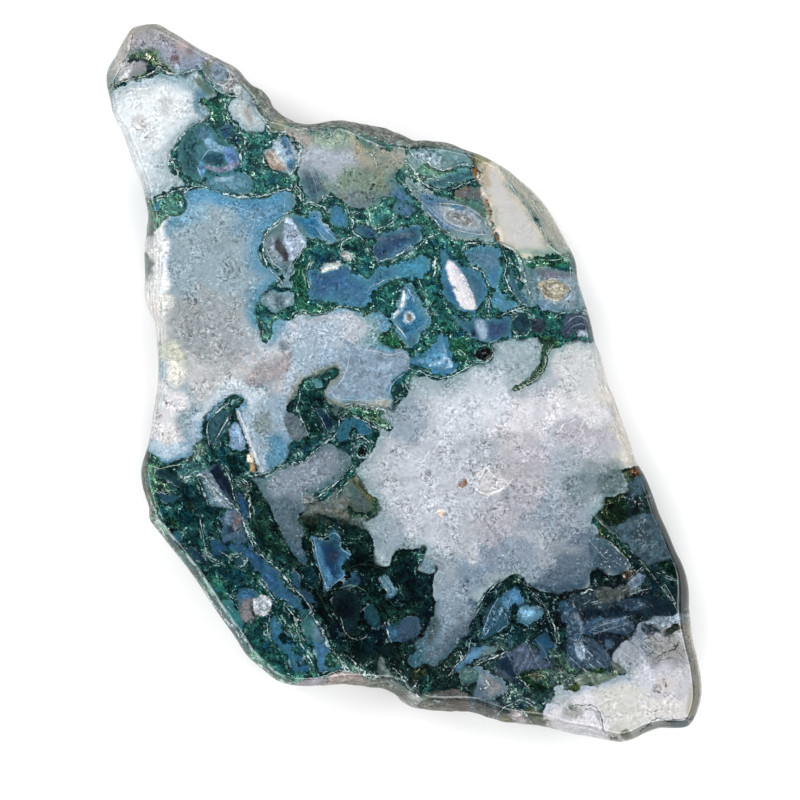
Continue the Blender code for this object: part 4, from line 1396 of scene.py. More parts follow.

# The dark moss of the lower left. The veins just inside the lower-left edge are painted highlights.
LOWER_LEFT = """
patch #567986:
204 479 210 484 218 492 226 499 233 507 227 508 219 507 213 506 209 501 206 493 202 484
tint #9fb4be 2 0.8:
205 480 212 488 222 497 218 504 210 496
agate #4a5672 #36445c:
208 470 211 466 216 466 220 474 224 482 228 490 233 500 228 499 222 494 215 486 210 478
patch #0f2034:
211 471 214 469 218 476 222 484 226 492 223 492 217 486 213 479
vein 1.6:
205 481 209 488 213 496 217 506
vein 2.6:
183 480 188 476 194 476 200 475 204 476 210 484 218 492 226 499 234 507 240 514 244 523 247 532
251 542
vein 1.5:
212 490 216 498 222 505
vein 2.2:
199 482 202 487 204 493 206 499 208 504
agate #294d80 #1f3c60:
240 494 243 498 246 505 248 512 248 518 245 521 242 515 239 508 238 500
agate #4e6786 #3c5374:
228 511 233 508 238 513 242 520 244 527 246 534 248 540 246 543 240 541 234 540 229 542 224 543
222 538 224 532 223 526 222 520 224 515
tint #58606c 3 0.9:
231 516 238 514 242 524 240 532 233 530
tint #141f38 2.5 0.9:
225 524 232 526 233 532 226 534
tint #97a6c6 2 0.6:
225 513 230 512 228 522 224 524
agate #264975 #1c3757:
212 540 218 538 224 544 232 546 240 546 248 549 255 554 261 560 262 570 255 565 248 559 240 554
232 551 226 550 222 553 219 557 214 554 210 547
agate #1c2f47 #1a2a3c:
236 558 240 556 244 559 243 564 239 566 236 563
vein 1.6:
221 552 228 556 234 557 238 556 241 553
vein 3.2:
240 566 244 565 247 560
vein 1.6:
200 518 201 526 203 534 204 541 205 548 208 553
vein 1.5:
205 556 210 560 216 563 222 564
vein 1.6:
222 465 227 473 231 482 233 492 235 500
vein 1.5:
238 477 244 480 248 483 249 490 250 500 251 508 250 518
agate #2c587d #214666:
238 592 244 588 252 591 258 595 262 598 256 602 252 606 250 612 253 618 248 622 242 618 238 612
237 602
tint #535d5a 2.5 0.9:
239 600 248 600 252 606 244 612 239 608
tint #728492 3 0.9:
243 610 252 606 262 614 264 622 250 622
agate #34707f #2a5e6c:
222 600 228 600 234 605 239 613 243 622 240 632 234 628 228 619 224 611
vein 3.0:
229 607 231 610
shade #337060 3 0.9:
204 578 212 584 222 594 226 602 220 604 212 596
shade #2c6964 3 0.8:
176 548 190 560 204 574 214 590 220 606 210 600 190 572
agate #233e60 #182d48:
159 493 166 494 172 494 176 497 177 502 171 503 162 501
agate #0a1420 #0a1720:
156 471 160 468 168 470 174 474 178 478 182 484 178 487 172 482 165 479 158 477
shade #51716a 2 0.6:
156 482 160 479 166 481 170 486 171 491 166 493 160 491 157 487
vein 1.4:
156 488 160 492 166 494 172 491
shade #123940 2.5 0.9:
176 512 180 506 187 507 192 513 192 521 187 527 180 525 176 519
agate #22576d #194a58:
170 536 174 532 179 530 182 536 181 543 177 546 173 542
agate #182946 #12243a:
187 551 191 547 198 552 205 558 209 563 202 563 194 559
shade #2d4735 3 0.8:
170 518 178 520 178 528 171 526
shade #232f2e 3 0.9:
186 500 194 502 194 508 187 508
shade #6a9182 5 0.7:
141 465 150 465 156 480 152 496 152 512 160 528 152 524 146 510 142 490
vein 2.0:
155 517 157 522 160 527
vein 2.8:
193 572 197 576 205 588 211 597 216 604
vein 2.0:
216 604 222 612 228 620 234 627 242 640
vein 1.4:
228 594 234 600 238 608
agate #396c9c #23537e:
270 618 276 618 280 625 284 632 290 638 293 645 291 650 294 654 300 657 304 662 306 668 302 672
296 671 291 668 290 660 288 654 284 652 279 648 277 642 273 636 271 628
moss #0f2f36:
279 636 284 634 289 636 291 640 286 644 280 642
moss #12302f:
296 662 299 661 302 664 300 667 297 667
agate #2c5f6c #225463:
300 618 306 616 312 617 318 622 321 629 324 636 327 643 331 650 335 655 339 661 341 668 336 670
330 672 326 669 322 673 318 669 317 660 316 652 312 646 307 640 304 630
tint #5a7b8d 3 1.0:
312 620 320 628 324 640 316 642 313 632
tint #3d6b90 3 1.0:
317 642 326 644 332 654 326 670 318 670 316 656
tint #417473 3 0.8:
302 620 310 620 312 632 306 636
moss #3a5f5a:
324 664 326 657 333 652 339 658 340 664 334 668 328 669
vein 2.8:
312 616 318 624 321 629 324 635 326 640 328 645 333 651 339 657 342 663 343 670
vein 2.4:
293 615 296 622 297 630 299 637 302 646 306 653 310 660 313 667 315 673
vein 2.2:
269 619 267 628 268 637
vein 3.0:
278 617 281 622
vein 2.0:
283 625 290 632 294 640
agate #3f6f9b #2c557a:
386 627 391 626 398 622 404 618 410 616 418 620 418 634 410 641 404 642 396 642 390 641 387 634
tint #37495d 4 0.9:
396 622 420 616 420 644 398 640
vein 2.4:
385 624 388 633 391 641
crack 1.2:
330 616 334 620
shade #0a1e2e 4 0.8:
330 622 342 622 344 640 334 644
shade #0d2b34 4 0.8:
364 634 380 636 380 650 366 650
shade #1e3d3d 4 0.7:
380 610 400 606 420 600 420 616 400 618 388 624
vein 1.2:
341 618 344 630 350 637 358 640 366 637
patch #5d6d6b:
380 658 384 660 385 666 390 672 393 678 386 678 379 674 378 668
tint #c5b9bc 1.5 0.8:
384 668 390 674 388 678 382 674
vein 2.0:
320 677 328 675 334 672 340 670 346 672 356 672 366 676 374 678
vein 2.0:
348 656 354 662 360 668 368 673 380 677
vein 2.0:
394 669 400 675 405 681 410 687
vein 1.6:
344 662 347 668 352 671
shade #527273 4 0.9:
340 658 352 662 362 670 380 678 400 682 412 690 402 700 388 690 372 684 356 678 344 672
patch #b5afbe:
300 682 308 679 320 679 330 681 330 690 300 690
patch #b5a49f:
330 676 338 673 348 672 358 674 366 678 368 684 366 690 330 690
patch #aeb1bf:
396 699 402 695 412 696 412 712 396 705
shade #4a7c73 4 0.9:
250 652 262 662 274 672 288 678 300 678 300 690 270 686 250 668
vein 2.0:
250 657 258 662 266 667 272 672 280 678 290 681 300 681
patch #7f909f:
203 474 209 473 216 484 224 496 230 506 224 506 216 498 209 488
line 1.3 #34465a:
207 476 218 494 226 506
line 1.0 #e0e8ee:
205 477 214 492 222 505
patch #111c2c:
214 468 220 466 226 478 232 492 236 500 230 498 222 486 216 478
vein 1.5:
183 480 190 475 198 474 206 474 212 480 220 492 228 502 236 510 242 520 248 536 254 546 262 556 272 565
282 573 290 584 300 594 308 604 314 614
vein 2.0:
236 480 243 485 248 494 249 506 251 520
vein 2.4:
152 502 157 514 162 526 172 544 184 562 196 582 210 604 224 624 240 642
vein 1.3:
232 560 238 557 243 560 242 566 236 567
wash #2f587c 2 0.5:
226 540 244 544 256 556 266 570 278 582 290 596 304 608 298 612 284 600 268 588 256 570 244 554 228 550
patch #a9b4bd:
256 601 261 597 267 600 270 606 266 613 259 614 255 608
line 1.0 #6d5f5f:
259 603 263 607 267 604
shade #7aa19a 3 0.8:
150 512 158 520 172 540 190 566 208 594 226 622 240 644
256 662 270 676 262 678 246 662 226 634 206 602 186 572
166 546 152 526
tint #84787c 3 0.7:
243 606 252 600 260 604 262 616 254 624 244 622
wash #7a6a6c 2.5 0.5:
231 514 238 512 240 520 236 530 231 526
tint #3d6c9c 3 0.6:
238 594 250 590 258 594 250 600 240 602
shade #3f6d6a 3 0.7:
204 576 220 584 232 598 224 606 212 598
shade #284844 3 0.6:
252 500 262 510 274 534 284 552 276 556 262 536 252 520
shade #4a7068 3 0.6:
144 452 158 450 164 460 156 468 146 464
line 1.6 #9fb8a8:
150 466 160 468 172 466 184 464
shade #35605c 2 0.5:
150 500 158 520 166 540 176 556 170 560 158 540 150 520
"""

# The crystals, the lilac quartz and the cream lobe.
LOWER_RIGHT = """
quartz #5b707e #435d6c:
441 600 437 603 435 610 433 616 430 622 426 630 424 636 419 640 416 645 418 650 413 654 409 657
408 661 411 666 415 668 420 665 428 664 435 666 440 662 446 657 450 653 454 648 455 642 457 636
462 638 467 636 469 632 467 627 470 622 474 617 478 606 470 600
tint #3d4f54 3 0.9:
430 614 438 612 440 624 436 640 426 644 426 632
tint #708797 4 1.0:
440 604 456 600 458 614 450 630 444 640 436 640 438 624
tint #34606f 4 0.9:
406 652 424 646 428 652 420 664 410 668
tint #5e6d7b 3 0.8:
450 618 472 612 470 632 460 636 450 640 446 656 440 656 444 642
agate #2f5874 #24445a:
497 599 505 592 516 586 520 593 523 602 519 606 514 602 511 611 508 626 498 632 487 638 482 639
479 636 484 619 490 607
tint #4f80a4 3 0.9:
504 594 515 587 521 595 522 604 512 606 506 610 502 602
tint #24465e 2 0.8:
488 616 496 620 499 629 488 635 483 634
agate #6f9fc4 #557fa4:
518 609 520 606 532 607 542 610 545 615 540 620 530 624 521 624 517 619 516 613
tint #87b6d8 3 0.8:
519 608 530 608 534 614 526 618 519 616
shade #153742 4 0.8:
508 628 518 626 522 640 512 642
agate #244e7a #1a395a:
532 640 538 637 544 635 549 637 552 641 555 646 554 649 548 650 546 658 540 658 540 650 536 645
patch #455367:
505 654 512 651 518 648 524 644 530 648 536 652 541 657 546 662 550 666 545 669 538 668 532 668
526 671 520 675 515 678 510 672 507 664
line 1.0 #76869a:
524 645 519 658 514 670
line 1.0 #76869a:
531 645 527 657 521 669
line 0.9 #8894a6:
537 650 532 659 528 668
line 1.3 #1d2a38:
528 645 523 657 517 670
line 1.2 #1d2a38:
534 648 530 658 525 668
line 1.0 #1d2a38:
519 650 514 660 510 668
crack 1.6:
510 655 515 666 518 676
patch #192b3e:
498 660 504 656 508 658 511 666 514 674 517 680 512 682 506 676 501 670
patch #3e4b59:
496 668 502 671 508 676 511 680 504 678 497 673
agate #5c8abb #416c9b:
450 673 455 666 460 661 466 656 470 651 476 648 483 647 490 646 496 648 498 651 492 655 485 658
477 660 470 664 463 669 456 672
tint #60787a 3 0.9:
484 650 500 644 502 654 490 660 476 662 478 658
tint #648cac 2 0.7:
462 660 472 652 480 650 478 654 468 660
vein 2.0:
477 665 484 661 492 658 499 655 506 652
crack 2.6:
470 668 480 658 490 655 500 651
crack 2.0:
484 664 494 660 504 655
vein 3.4:
471 642 471 643
vein 2.0:
435 655 437 656
vein 1.8:
460 656 463 660 461 652
agate #918fa0 #6e819d:
470 668 480 667 486 670 492 675 498 677 504 681 507 686 507 690 504 694 498 697 492 700 484 700
477 697 472 692 475 686 479 681 473 675
tint #556979 3 0.9:
472 684 484 684 486 698 474 698
tint #567984 3 0.8:
468 664 482 668 484 676 472 676
vein 2.2:
485 679 488 683 491 687
vein 2.6:
482 689 486 687
vein 2.0:
503 695 507 690
quartz #4a6b6a #3d5c5d:
460 672 464 668 470 668 476 672 478 678 472 682 464 684 460 680
druse 1:
464 668 472 668 478 674 472 680 464 678
shade #333b33 3 0.9:
410 668 424 668 424 680 414 684
shade #1a3a3e 3 0.9:
418 680 432 678 432 694 420 694
vein 2.4:
400 678 405 682 409 687 413 690
vein 2.4:
413 687 416 685 417 682
patch #ccd3d6:
396 696 404 692 412 693 420 695 424 700 420 712 404 710
patch #697b73:
420 695 430 694 432 700 428 708 418 708 422 700
patch #5a5c5b:
430 695 436 692 444 691 452 690 460 692 468 696 470 702 468 714 428 714 430 702
crack 2.0:
448 699 456 698 464 701
crack 1.4:
433 705 444 703 452 705
vein 2.6:
435 700 438 700
patch #43555f:
470 698 478 698 486 700 494 702 500 704 498 710 496 720 484 720 468 714
druse 1:
466 698 480 698 496 704 496 716 482 714 468 708
vein 2.0:
494 714 500 710 506 707 512 704 520 700 528 703 535 707
patch #c0babd:
506 714 514 711 522 712 530 716 540 714 550 716 552 730 520 730 506 726
patch #6f6e50:
495 717 500 713 505 713 509 716 508 722 503 726 499 721
patch #606a57:
523 712 529 708 535 710 540 715 545 720 538 722 531 720 526 717
crack 1.4:
523 712 529 716 537 721
vein 1.8:
518 707 524 712 530 718
moss #233f35:
519 676 522 672 528 670 535 669 542 670 547 673 550 679 550 686 547 690 540 690 532 688 526 684
521 680
shade #555a58 2 0.9:
530 674 536 672 541 676 541 681 536 683 531 681
vein 1.6:
518 678 524 683 529 688
vein 1.6:
540 671 546 676 549 684
wash #22333d 3 0.95:
568 600 576 594 588 591 600 588 612 590 622 594 621 602 610 607 596 610 580 611 570 606
wash #4c544f 1.6 0.7:
594 592 606 588 616 591 614 599 602 601
wash #0f1f2c 2.5 0.95:
574 611 590 609 604 608 616 604 628 600 644 597 662 600 676 608 672 614 650 617 634 614 622 615 606 621
590 623 578 622
wash #334a5c 1.2 0.6:
618 603 630 599 642 600 650 604 640 608 626 609
patch #0c1a26:
596 607 603 605 604 612 600 616 595 612
patch #3d3012:
603 613 608 611 613 612 614 617 608 619 603 618
patch #2f485c:
566 605 571 606 576 613 579 622 582 632 580 644 581 656 583 667 576 669 569 662 567 650 568 638 566 622
druse 0.4:
564 602 572 604 578 612 582 622 584 636 582 650 584 668 574 670 568 656 568 636 564 618
wash #1c3548 1.5 0.95:
582 622 592 618 602 620 603 630 594 635 583 634
wash #3f5a70 1 0.7:
583 623 596 619 603 616 602 622 592 627 584 630
patch #33485a:
600 621 608 617 618 616 627 619 634 627 630 634 620 635 610 633 602 630
wash #5d7388 1 0.7:
604 620 616 618 622 622 612 625 604 626
patch #15202c:
598 634 610 634 621 637 620 645 614 652 611 661 605 653 599 645
wash #354b5c 1 0.7:
604 640 612 638 614 646 607 650
patch #3c5264:
575 642 583 638 593 640 601 646 606 653 611 662 606 668 595 669 584 665 577 657
wash #8fa5b9 1 0.9:
576 643 581 641 586 648 584 658 579 660 576 652
wash #3c5064 1.5 0.85:
589 645 600 649 609 661 600 667 590 659
crack 1.6:
566 648 572 658 580 666 588 670 600 673
crack 1.4:
583 640 590 650 597 662
vein 1.4:
577 640 583 652 589 663 595 668
patch #0c1a22:
600 612 612 610 620 612 610 616 601 617
wash #50544f 1.4 0.7:
616 600 618 592 622 586 629 585 632 589 626 594 621 602
vein 2.2:
620 596 624 590 630 587
druse 0.6:
626 588 632 582 638 575 645 574 643 581 636 588 629 592
patch #566b7c:
630 587 635 581 640 575 645 575 643 581 637 587
patch #7f909d:
652 620 658 617 668 615 680 616 681 621 670 624 660 626 653 625
druse 1:
650 619 658 615 670 613 682 615 683 623 668 627 654 627
vein 1.4:
584 606 592 602 600 601
vein 1.2:
634 600 640 603 645 606
quartz #d6d4de #b3bccb:
655 616 662 615 672 614 690 613 740 613 740 780 530 780 530 724 540 714 547 706 552 700 556 694
553 689 560 686 566 690 572 692 578 690 583 687 588 685 595 687 600 684 607 681 613 678 620 676
624 675 627 673 624 668 618 664 613 661 611 657 613 653 617 648 622 643 628 641 633 637 636 631
638 626 643 623 648 622 652 620
tint #74858e 3 0.9:
652 614 692 612 692 625 672 624 656 630
tint #768795 6 1.0:
634 624 652 624 656 640 650 660 640 656 632 646
tint #949ca5 5 1.0:
612 652 624 640 636 640 642 660 640 672 626 670 616 664
tint #8b8b89 7 0.9:
650 634 666 636 684 640 684 664 664 664 650 660
tint #919399 3 0.8:
644 654 656 662 672 658 686 662 686 670 670 664 656 670 648 664
tint #c0c0c7 8 1.0:
660 664 686 672 690 710 660 714 650 700 656 680
tint #cac9c4 9 0.9:
600 684 636 678 646 700 640 740 606 744 604 716 596 704
tint #d3d0cf 5 0.9:
646 700 686 700 690 716 660 718 646 716
tint #aaa695 4 1.0:
682 624 700 622 720 660 716 730 690 732 688 716 690 700 690 680 686 650
tint #929a90 3 0.9:
640 730 652 722 668 720 690 720 700 700 706 690 716 700 706 736 670 744 630 748 604 746 606 740
626 740
tint #d6d4da 8 0.9:
548 700 580 694 598 704 600 740 540 738
tint #a4adae 6 0.8:
550 690 572 692 572 706 552 706
tint #8f948d 4 0.8:
566 708 584 706 584 718 566 718
tint #c4bfbb 3 0.7:
656 678 670 676 674 690 662 692
moss #16231b:
663 632 667 628 672 625 678 624 682 626 680 630 675 633 672 637 667 637 664 635
patch #1b2230:
651 628 655 626 658 630 655 632
crack 2.6:
657 657 662 654 668 651 674 650 677 646 678 642
crack 1.6:
676 651 679 653 682 656
crack 1.4:
664 637 668 641 673 644 677 647
vein 1.2:
655 664 662 659 672 658 682 661
line 4.0 #6b4a30:
656 690 658 691
line 2.6 #5c4a36:
648 696 649 696
line 1.6 #6a5236:
656 684 653 689
crack 3.6:
666 684 666 685
crack 1.2:
663 693 665 692 668 695 665 697 663 695
patch #7f8984:
570 705 574 704 576 708 574 711 570 709
crack 1.4:
567 705 572 710 576 711
crack 2.0:
576 705 584 705 591 705 596 708 600 714 602 722 603 730 608 734 616 737
crack 3.6:
604 732 609 735 616 738
vein 1.8:
586 709 593 710 598 716 600 723
vein 1.4:
602 712 605 716 611 718
moss #3e4a33:
570 688 574 685 580 685 582 688 577 691 573 692
patch #6c7c71:
574 680 580 676 590 673 600 675 610 674 618 675 612 678 604 681 597 686 590 683 582 684
patch #5c6660:
611 662 617 664 623 668 627 673 622 673 615 668
moss #2a4a3a:
584 668 592 669 600 667 604 670 598 673 590 672
crack 1.6:
606 676 613 675 619 674
druse 1:
550 666 566 668 574 676 572 688 558 688 550 680
vein 1.6:
574 678 577 677
patch #7c8472:
621 733 624 730 629 731 630 735 626 738 622 736
crack 2.6:
640 729 647 725 652 721 658 718 664 720 674 720 684 719
patch #657c86:
670 721 678 721 686 721 690 724 684 728 672 728
crack 3.0:
682 719 690 717 696 711
crack 2.0:
699 690 699 700 696 710
rust 1.6:
614 689 616 690
grain 5 0.5:
548 690 600 676 640 640 690 620 700 720 640 748 540 730
druse 0.2:
568 590 640 578 650 600 650 612 632 636 610 664 574 668 566 620
line 1.0 #a9c8de:
498 599 491 610 487 620 484 629 482 637
line 0.9 #a3c2d8:
505 603 501 611 497 619 490 628 485 636
line 0.9 #9ab9cf:
508 612 509 619 507 624 503 628 498 632
line 0.8 #a3c2d8:
494 612 494 618 493 625
line 0.8 #a9c8de:
512 594 509 601 508 607 505 619
line 1.0 #1a3442:
501 604 496 612 490 622 486 630
line 1.0 #1a3442:
507 606 503 614 499 622 495 630
line 1.6 #12262e:
515 603 512 611 511 619 509 626
line 1.0 #6f8698:
536 640 544 650 548 660
line 1.0 #6f8698:
530 646 534 656 538 666
vein 1.8:
470 640 468 652 458 664 448 676
shade #2f4a46 2 0.4:
505 574 514 572 522 578 518 584 508 582
vein 1.4:
520 580 530 590 540 600 548 612 554 626 558 640
vein 1.4:
500 580 490 590 480 602 472 616
calm 6 0.45:
548 700 600 682 650 660 690 650 700 712 640 740 560 726
line 1.2 #4c5a5c:
640 624 650 632 658 642
line 1.2 #5b6668:
628 640 638 648 646 660
line 1.0 #c6cbd0:
640 640 652 650 664 656
line 1.0 #c6cbd0:
622 652 636 660 648 668
line 1.2 #6f7876:
612 664 626 672 640 676
wash #1b2b36 2 0.7:
640 622 652 624 660 632 650 636 642 630
tint #8292a0 7 0.85:
432 586 452 582 474 588 474 600 466 618 442 618 434 604
druse 0.5:
566 606 578 604 586 616 588 640 584 660 574 668 566 650
druse 0.35:
592 624 612 618 632 616 632 630 612 634 592 634
wash #8fa6ba 1.6 0.35:
570 616 576 612 582 620 584 632 580 642 574 636 570 626
line 0.9 #9fb1c2:
590 631 602 625 616 621 630 616
line 0.9 #8599ac:
594 634 606 630 620 626 632 622
line 1.1 #14222e:
588 628 602 621 616 618 628 614
line 1.0 #aab9c6:
569 656 576 663 584 670 590 673
line 1.0 #b3c1cd:
581 645 588 652 596 660 604 667
line 1.2 #14222e:
584 644 594 648 604 656 610 664
wash #39403a 1.6 0.75:
418 700 432 698 446 700 444 706 430 708 420 706
wash #473e37 1.6 0.7:
448 701 462 700 470 704 466 710 454 710
wash #2f3b3c 1.6 0.75:
474 704 486 702 494 707 490 713 478 712
wash #434d38 1.6 0.7:
500 716 512 714 516 720 508 726 500 723
wash #3b4937 1.6 0.7:
524 708 536 707 544 714 538 720 528 716
wash #c9cdd0 1.8 0.45:
546 716 560 712 580 720 596 730 590 738 566 732
wash #14262e 2 0.55:
642 598 680 600 682 611 660 612 644 616
wash #3d4846 2 0.45:
660 627 682 625 684 636 664 640
"""

MARKINGS = (MOSS_TONES, UPPER_END, WEST, EAST, UPPER_MIDDLE,
            UPPER_RIGHT, MIDDLE, LOWER_LEFT, LOWER_RIGHT)

# How each kind of cavity looks: grain, how clearly a pale skin lines its wall, and what dims its colours.
CAVITY_KINDS = {
    "agate": (0.0, 0.8, (0.80, 0.88, 0.74)),
    "quartz": (1.0, 0.5, (0.86, 0.92, 0.92)),
    "smoky": (0.15, 0.1, (0.86, 0.90, 0.86)),
}
DARK_LINES = ("crack", "rust", "line")
LINE_COLOURS = {"crack": "#0c1512", "rust": "#8a5426"}
MOSS_COLOUR = "#315c60"
FIRST_FILLING = "#8fb0c4"
REACH = 45.0
PATCH_REACH = 12.0
LINE_REACH = 7.0
DRIFT = 1.6
DRIFT_LENGTH = 17.0
WAVER_SEED = 1
SMOOTH_STEPS = 3

# How the outlines are laid over each other, in tenths: how far one takes effect past its own edge, where
# a cavity reaches the colour of its middle, and how lines thin out towards their ends.
WALL_OVERLAP = 1.5
SPOT_OVERLAP = 1.0
MIDDLE_SHARE = 0.6
MIDDLE_RANGE = (3, 20)
SOFT_MARGIN = 2
FAN_MARGIN = 6
HEART_MARGIN = 4
THIN_END = 0.45
THINNING_LENGTH = 5
DRUSE_LOW = -2.0
DRUSE_HIGH = 4.0
COLOUR_FIELDS = ("filling", "moss", "patch_colour", "wash_colour", "dark_colour")

# The map for a picture of the colours, in its pixels.
MAP_SIZE = 1024
MAP_MARGIN = 3.0
MAP_FACE_SCALE = 1.24
MAP_STRIPS = 3
MAP_SIDE_LEFT = 749.0
MAP_STRIP_STEP = 91.0
MAP_SIDE_SCALE = 0.86
MAP_BACK_CORNER = (750.0, 650.0)
MAP_BACK_SCALE = 0.455

# How the drawing is carried down the sides and onto the back: pulled inwards and warped.
SIDE_PULL = 0.10
SIDE_WARP = 14.0
SIDE_WARP_LENGTH = 60.0

# How the stone's material looks.
BEND = 12.0
GROWTH_DIRECTION = (0.6, 0.8, 0.0)
GROWTH_PRESS = 0.55
MOSS_DEPTH = 1.42
MOSS_TONE = (1.84, 2.06, 1.98)
PALE_GAMMA = 0.5
PALE_MOSS_TONE = (2.0, 1.75, 1.78)
POOL_SHIFT = (90, 40, 0)
SKIN_COLOUR = "#c3d6dc"
FLECK_COLOUR = "#f2f5f8"
# The colours of the druse's painted glints and of the painted shade between its crystals.
CRYSTAL_GLINT_COLOUR = "#e6ebee"
GAP_SHADE_COLOUR = "#232b2f"
MEMBRANE_COLOUR = "#e4f7f8"
MEMBRANE_EDGE_COLOUR = "#060f0e"
BEVEL_COLOUR = "#2c4a49"
# The colour of the painted highlight along the bevel.
PAINTED_HIGHLIGHT_COLOUR = "#c9dfe4"
CRUST_DARK = "#33382f"
CRUST_PALE = "#9b9c90"
BASE_LEVEL = 0.75
POLISHED_ROUGHNESS = 0.12
RIND_ROUGHNESS = 0.6
QUARTZ_IOR = 1.54

# Where the bevel's painted highlight, the rind's crust and the painted shade on the right side begin and end,
# as x or y on the sheet.
HIGHLIGHT_LEFT = 300
HIGHLIGHT_RIGHT = 460
CRUST_LEFT = 440
CRUST_RIGHT = 550
CRUST_UPPER = 560
CRUST_LOWER = 660
CRUST_SHIFT = 45.0
SHADE_LEFT = 560
SHADE_RIGHT = 680
SHADE_LOSS = 0.58
LIT_MIDDLE = 410
LIT_REACH = 45
LIT_END = 85

# The floor, the lights and the camera, in metres, watts and degrees.
FLOOR_WIDTH = 4.0
FLOOR_COLOUR = (0.98, 0.98, 0.98, 1)
FLOOR_ROUGHNESS = 0.9
FLOOR_GLOSS = 0.2
LIGHT_POWER = 17.2
BOX_SHARES = (0.22, 0.19, 0.20, 0.19, 0.20)
FIRST_BOX = 135
BOX_ELEVATION = 52
BOX_DISTANCE = 0.9
BOX_SIZE = 0.45
WORLD_COLOUR = (0.95, 0.97, 1.0, 1)
WORLD_LEVEL = 0.03
CAMERA_HEIGHT = 1.0
VIEW_WIDTH = 0.08
VIEW_MIDDLE = (-0.0004, -0.0017)
SENSOR_WIDTH = 36.0


def linear(colour):
    """A #rrggbb colour as linear red, green and blue."""
    parts = [int(colour[i:i + 2], 16) / 255 for i in (1, 3, 5)]
    return np.array([p / 12.92 if p <= 0.04045 else ((p + 0.055) / 1.055) ** 2.4 for p in parts])


def drawn(text):
    """The outlines of a drawing in order: kind, values and points."""
    entries = []
    for line in text.strip().splitlines():
        if line.endswith(":"):
            kind, *values = line[:-1].split()
            entries.append((kind, values, []))
        else:
            entries[-1][2].extend(float(number) for number in line.split())
    return [(kind, values, np.array(numbers).reshape(-1, 2)) for kind, values, numbers in entries]


def smooth(share):
    share = np.clip(share, 0, 1)
    return share * share * (3 - 2 * share)


def curve_through(rows, steps, closed=True):
    """A Catmull-Rom curve through the rows, with every column carried along."""
    here = np.array(rows, float)
    if not closed:
        here = np.vstack([2 * here[0] - here[1], here, 2 * here[-1] - here[-2]])
    before, after, beyond = np.roll(here, 1, 0), np.roll(here, -1, 0), np.roll(here, -2, 0)
    cuts = []
    for t in np.arange(steps) / steps:
        straight = (after - before) * t
        bend = (2 * before - 5 * here + 4 * after - beyond) * t**2
        twist = (3 * here - before - 3 * after + beyond) * t**3
        cuts.append(here + 0.5 * (straight + bend + twist))
    curve = np.stack(cuts, 1)
    if not closed:
        return np.vstack([curve[1:-2].reshape(-1, here.shape[1]), here[-2]])
    return curve.reshape(-1, here.shape[1])


def evenly(curve, count):
    """The same closed curve at evenly spaced stations."""
    closed = np.vstack([curve, curve[:1]])
    run = np.concatenate([[0.0], np.cumsum(np.hypot(*np.diff(closed[:, :2], axis=0).T))])
    at = np.linspace(0.0, run[-1], count, endpoint=False)
    return np.stack([np.interp(at, run, column) for column in closed.T], 1)


def distance_to(places, starts, ends):
    """How far each place is from the nearest of some straight pieces."""
    along = ends - starts
    length = np.maximum((along**2).sum(1), 1e-9)
    nearest = np.full(len(places), np.inf)
    for start, piece, square in zip(starts, along, length):
        off = places - start
        t = np.clip(off @ piece / square, 0, 1)[:, None]
        nearest = np.minimum(nearest, ((off - t * piece) ** 2).sum(1))
    return np.sqrt(nearest)


def is_inside(places, loop):
    inside = np.zeros(len(places), bool)
    for (x0, y0), (x1, y1) in zip(loop, np.roll(loop, -1, 0)):
        if y0 == y1:
            continue
        crosses = (y0 > places[:, 1]) != (y1 > places[:, 1])
        inside ^= crosses & (places[:, 0] < x0 + (places[:, 1] - y0) * (x1 - x0) / (y1 - y0))
    return inside


def near(places, spots, reach):
    """Which places lie in the box round some spots."""
    return ((places > spots.min(0) - reach) & (places < spots.max(0) + reach)).all(1)


def depth_inside(places, loop, reach=REACH):
    """The distance from a loop, positive inside it. Places far outside all get minus the reach."""
    depth = np.full(len(places), -reach)
    close = near(places, loop, reach)
    if close.any():
        gap = distance_to(places[close], loop, np.roll(loop, -1, 0))
        depth[close] = np.maximum(np.where(is_inside(places[close], loop), gap, -gap), -reach)
    return depth


def beside_line(places, line):
    """For an open line: how far each place is to one side of it, and how far from it altogether."""
    side, gap = np.full(len(places), LINE_REACH), np.full(len(places), LINE_REACH)
    for start, end in zip(line, line[1:]):
        piece = end - start
        off = places - start
        t = np.clip(off @ piece / max(piece @ piece, 1e-9), 0, 1)[:, None]
        far = np.sqrt(((off - t * piece) ** 2).sum(1))
        turn = (piece[0] * off[:, 1] - piece[1] * off[:, 0]) / max(math.sqrt(piece @ piece), 1e-6)
        closer = far < gap
        side[closer] = turn[closer]
        gap[closer] = far[closer]
    return side, gap


